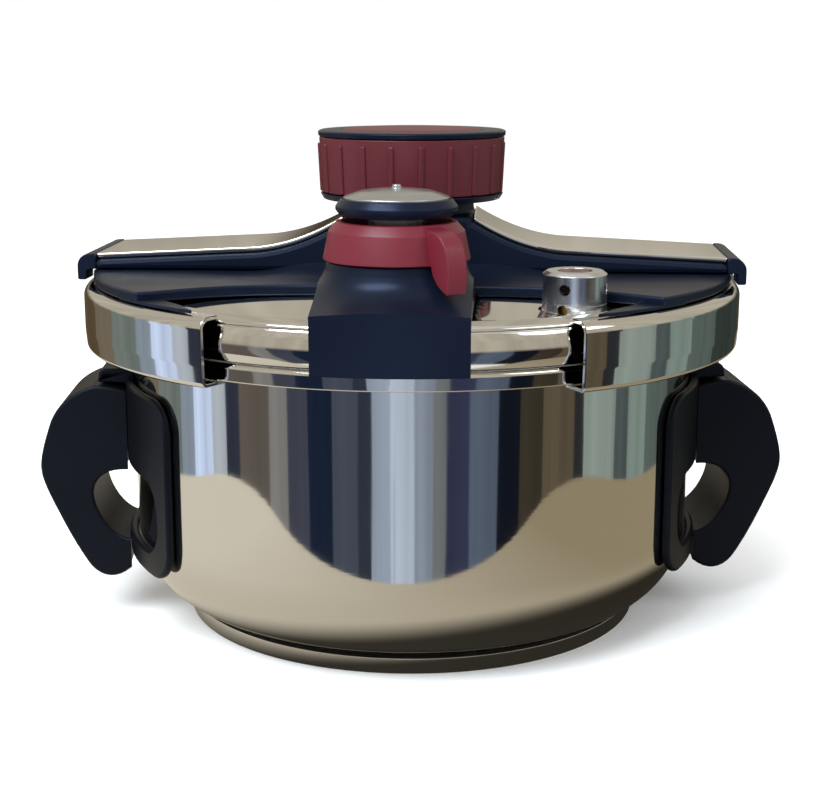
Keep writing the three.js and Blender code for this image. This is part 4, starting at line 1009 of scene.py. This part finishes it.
# Turned steel: fine rings from the lathe, close enough to blur the reflection round the axis.
lathe_steel, tree, out = new_material("turned_stainless_steel")
coords = add(tree, "ShaderNodeTexCoord")
centred = add(tree, "ShaderNodeMapping", {
    "Vector": coords.outputs["Object"], "Location": (0, -valve_y * MM, 0),
})
rings_seen = add(tree, "ShaderNodeTexWave", {
    "Vector": centred.outputs[0], "Scale": 420.0, "Distortion": 0.6, "Detail": 2.0,
}, wave_type="RINGS", rings_direction="Z")
rough = add(tree, "ShaderNodeMapRange", {"Value": rings_seen.outputs["Fac"], "To Min": 0.2, "To Max": 0.3})
bump = add(tree, "ShaderNodeBump", {
    "Height": rings_seen.outputs["Fac"], "Strength": 0.12, "Distance": 0.0001})
metal = add(tree, "ShaderNodeBsdfPrincipled", {
    "Base Color": linear("#c9cdd0"), "Metallic": 1.0, "Roughness": rough.outputs[0],
    "Normal": bump.outputs[0],
})
tree.links.new(metal.outputs[0], out.inputs["Surface"])
regulator_cap.data.materials.append(lathe_steel)
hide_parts("regulator_cap")
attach(regulator_cap, "regulator")
for hidden in ("regulator_weight", "steam_nozzle", "nozzle_nut"):
    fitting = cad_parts[hidden]
    fitting.data.materials.clear()
    fitting.data.materials.append(satin_steel)
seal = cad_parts["nozzle_seal"]
seal.data.materials.clear()
seal.data.materials.append(silicone)


# ---- Pressure indicator and safety valve ----
# A satin steel cage with drilled vents stands over a brass safety valve, its spring and the indicator's pin.
cage_top, cage_r, cage_wall, hole_r, button_r = cage_high.z / MM, 11.4, 1.4, 2.0, 5.7
seam = lid_top + 3.9
cage = turned("cage_turning", rounded([
    (cage_r - cage_wall, lid_top + 0.3), (cage_r, lid_top + 0.3, 0.2), (cage_r, seam - 0.3, 0.1),
    (cage_r - 0.5, seam - 0.15), (cage_r - 0.5, seam + 0.15), (cage_r, seam + 0.3, 0.1),
    (cage_r, cage_top - 1.1, 0.5), (cage_r - 1.5, cage_top, 0.5), (button_r + 0.4, cage_top, 0.3),
    (button_r + 0.4, cage_top - cage_wall),
    (cage_r - cage_wall, cage_top - cage_wall),
]), 128)
for height, turn in ((9.4, -20), (2.0, -24), (9.4, 70)):
    drill = turned("drill", [(0, -30), (hole_r, -30), (hole_r, 30), (0, 30)], 48)
    drill.rotation_euler = (math.radians(90), 0, math.radians(turn))
    drill.location = (0, 0, (lid_top + height) * MM)
    bpy.ops.object.transform_apply(location=True, rotation=True)
    cut(cage, drill)
softened(cage, 0.25, 2, 50)
settled(cage, 0, (cage_x, cage_y, 0))
cage.data.materials.clear()
cage.data.materials.append(satin_steel)
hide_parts("valve_cage")
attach(cage, "lid")

indicator = turned("indicator_button", rounded([
    (0, cage_top - 6), (button_r, cage_top - 6, 0.4), (button_r, cage_top - 0.2, 0.9),
    (2.0, cage_top - 0.2, 0.3),
    (1.6, cage_top - 0.6), (0, cage_top - 0.6),
]), 64)
pin_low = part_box("indicator_pin")[0].z / MM
stalk = turned("stalk", [(0, pin_low), (1.7, pin_low), (1.7, cage_top - 5), (0, cage_top - 5)], 32)
cut(indicator, stalk, "UNION")
settled(indicator, 0, (cage_x, cage_y, 0))
dark_red = moulded_plastic("dark_red_nylon", "#4d2a28", "#5e3330", 0.35, 0.5)
indicator.data.materials.clear()
indicator.data.materials.append(dark_red)
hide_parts("indicator_pin")
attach(indicator, "indicator")

# Machined brass, gone a little brown.
brass, tree, out = new_material("machined_brass")
coords = add(tree, "ShaderNodeTexCoord")
tarnish = add(tree, "ShaderNodeTexNoise", {"Vector": coords.outputs["Object"], "Scale": 200.0, "Detail": 3.0})
tone = add(tree, "ShaderNodeMix", {
    "Factor": tarnish.outputs[0], "A": linear("#b8924c"), "B": linear("#8f6f3c"),
}, data_type="RGBA")
metal = add(tree, "ShaderNodeBsdfPrincipled", {
    "Base Color": tone.outputs["Result"], "Metallic": 1.0, "Roughness": 0.34,
})
tree.links.new(metal.outputs[0], out.inputs["Surface"])
for name, paint, slot in (
    ("safety_valve_body", brass, "brass"), ("safety_valve_nut", satin_steel, "satin_steel"),
    ("safety_spring", satin_steel, "satin_steel"), ("indicator_seal", silicone, "silicone"),
):
    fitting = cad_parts[name]
    fitting.data.materials.clear()
    fitting.data.materials.append(paint)


# ---- Knob ----
# The knob that opens the jaws: a black base with a flange and a spindle, a ribbed burgundy grip ring,
# a black rim and a burgundy disc snapped into its top.
knob_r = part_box("knob_rim")[1].x / MM
knob_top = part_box("knob_rim")[1].z / MM
knob_low = stem_top + 0.4
grip_low, grip_bore = knob_low + 2.4, knob_r - 7.5
grip_top = knob_top - 2.6
hub_top, spindle_r, stud_bore, knob_well = knob_top - 17, 8.5, 4.5, 12.0
drive_half = 6.0

knob_base = turned("knob_base_moulding", rounded([
    (stud_bore, cam_top + 0.2), (spindle_r, cam_top + 0.2, 0.4), (spindle_r, knob_low, 0.5),
    (knob_r - 2.4, knob_low, 0.8), (knob_r - 1.0, grip_low, 0.3), (grip_bore, grip_low),
    (grip_bore, grip_top, 0.3),
    (knob_well, grip_top, 0.5), (knob_well, hub_top), (stud_bore, hub_top, 0.3),
]), 128)
drive = block("drive", (-drive_half, -drive_half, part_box("knob_base")[0].z / MM),
              (drive_half, drive_half, cam_top + 0.3))
cut(drive, turned("stud_space", [(0, 130), (stud_bore, 130), (stud_bore, 150), (0, 150)], 48))
cut(knob_base, drive, "UNION")
bpy.ops.object.shade_smooth_by_angle(angle=math.radians(30))
knob_base.data.materials.clear()
knob_base.data.materials.append(navy_nylon)
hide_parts("knob_base")
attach(knob_base, "knob")

ribs, rib_half, grip_taper = 20, 1.0, 1.0
grip_body = turned("knob_grip_moulding", rounded([
    (grip_bore + 0.3, grip_low + 0.3), (knob_r - 0.8 - grip_taper, grip_low + 0.3, 0.6),
    (knob_r - 0.8, grip_top, 0.5), (grip_bore + 0.3, grip_top),
]), 160)
for index in range(ribs):
    rib = filled("rib", [
        (knob_r - 3, -rib_half - 0.3, grip_low + 0.6), (knob_r - 3, rib_half + 0.3, grip_low + 0.6),
        (knob_r - grip_taper, rib_half, grip_low + 0.6), (knob_r - grip_taper, -rib_half, grip_low + 0.6),
    ], (grip_taper * 0.9, 0, grip_top - grip_low - 3.0))
    softened(rib, 0.6, 4, 50)
    settled(rib, 360 * (index + 0.5) / ribs)
    bpy.ops.object.select_all(action="DESELECT")
    rib.select_set(True)
    grip_body.select_set(True)
    bpy.context.view_layer.objects.active = grip_body
    bpy.ops.object.join()
burgundy = moulded_plastic("burgundy_nylon", "#4a131b", "#591c25", 0.4, 0.6, 0.4)
grip_body.data.materials.clear()
grip_body.data.materials.append(burgundy)
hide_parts("knob_grip")
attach(grip_body, "knob")

cap_r = knob_r - 9.9
knob_rim = turned("knob_rim_moulding", rounded([
    (cap_r + 0.4, grip_top + 0.3), (knob_r - 0.5, grip_top + 0.3, 0.4), (knob_r - 0.3, knob_top - 0.5, 0.5),
    (knob_r - 1.4, knob_top, 0.6), (cap_r + 0.4, knob_top, 0.3),
]), 160)
knob_rim.data.materials.append(navy_nylon)
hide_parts("knob_rim")
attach(knob_rim, "knob")

knob_cap = turned("knob_cap_moulding", rounded([
    (0, grip_top + 0.3), (cap_r, grip_top + 0.3), (cap_r, knob_top + 0.05, 0.3),
    (cap_r - 3.6, knob_top + 0.6, 6.0), (0, knob_top + 1.1),
]), 128)
knob_cap.data.materials.append(burgundy)
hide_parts("knob_cap")
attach(knob_cap, "knob")
for hidden in ("cam_disc", "lid_stud", "knob_washer", "knob_nut"):
    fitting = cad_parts[hidden]
    fitting.data.materials.clear()
    fitting.data.materials.append(satin_steel)
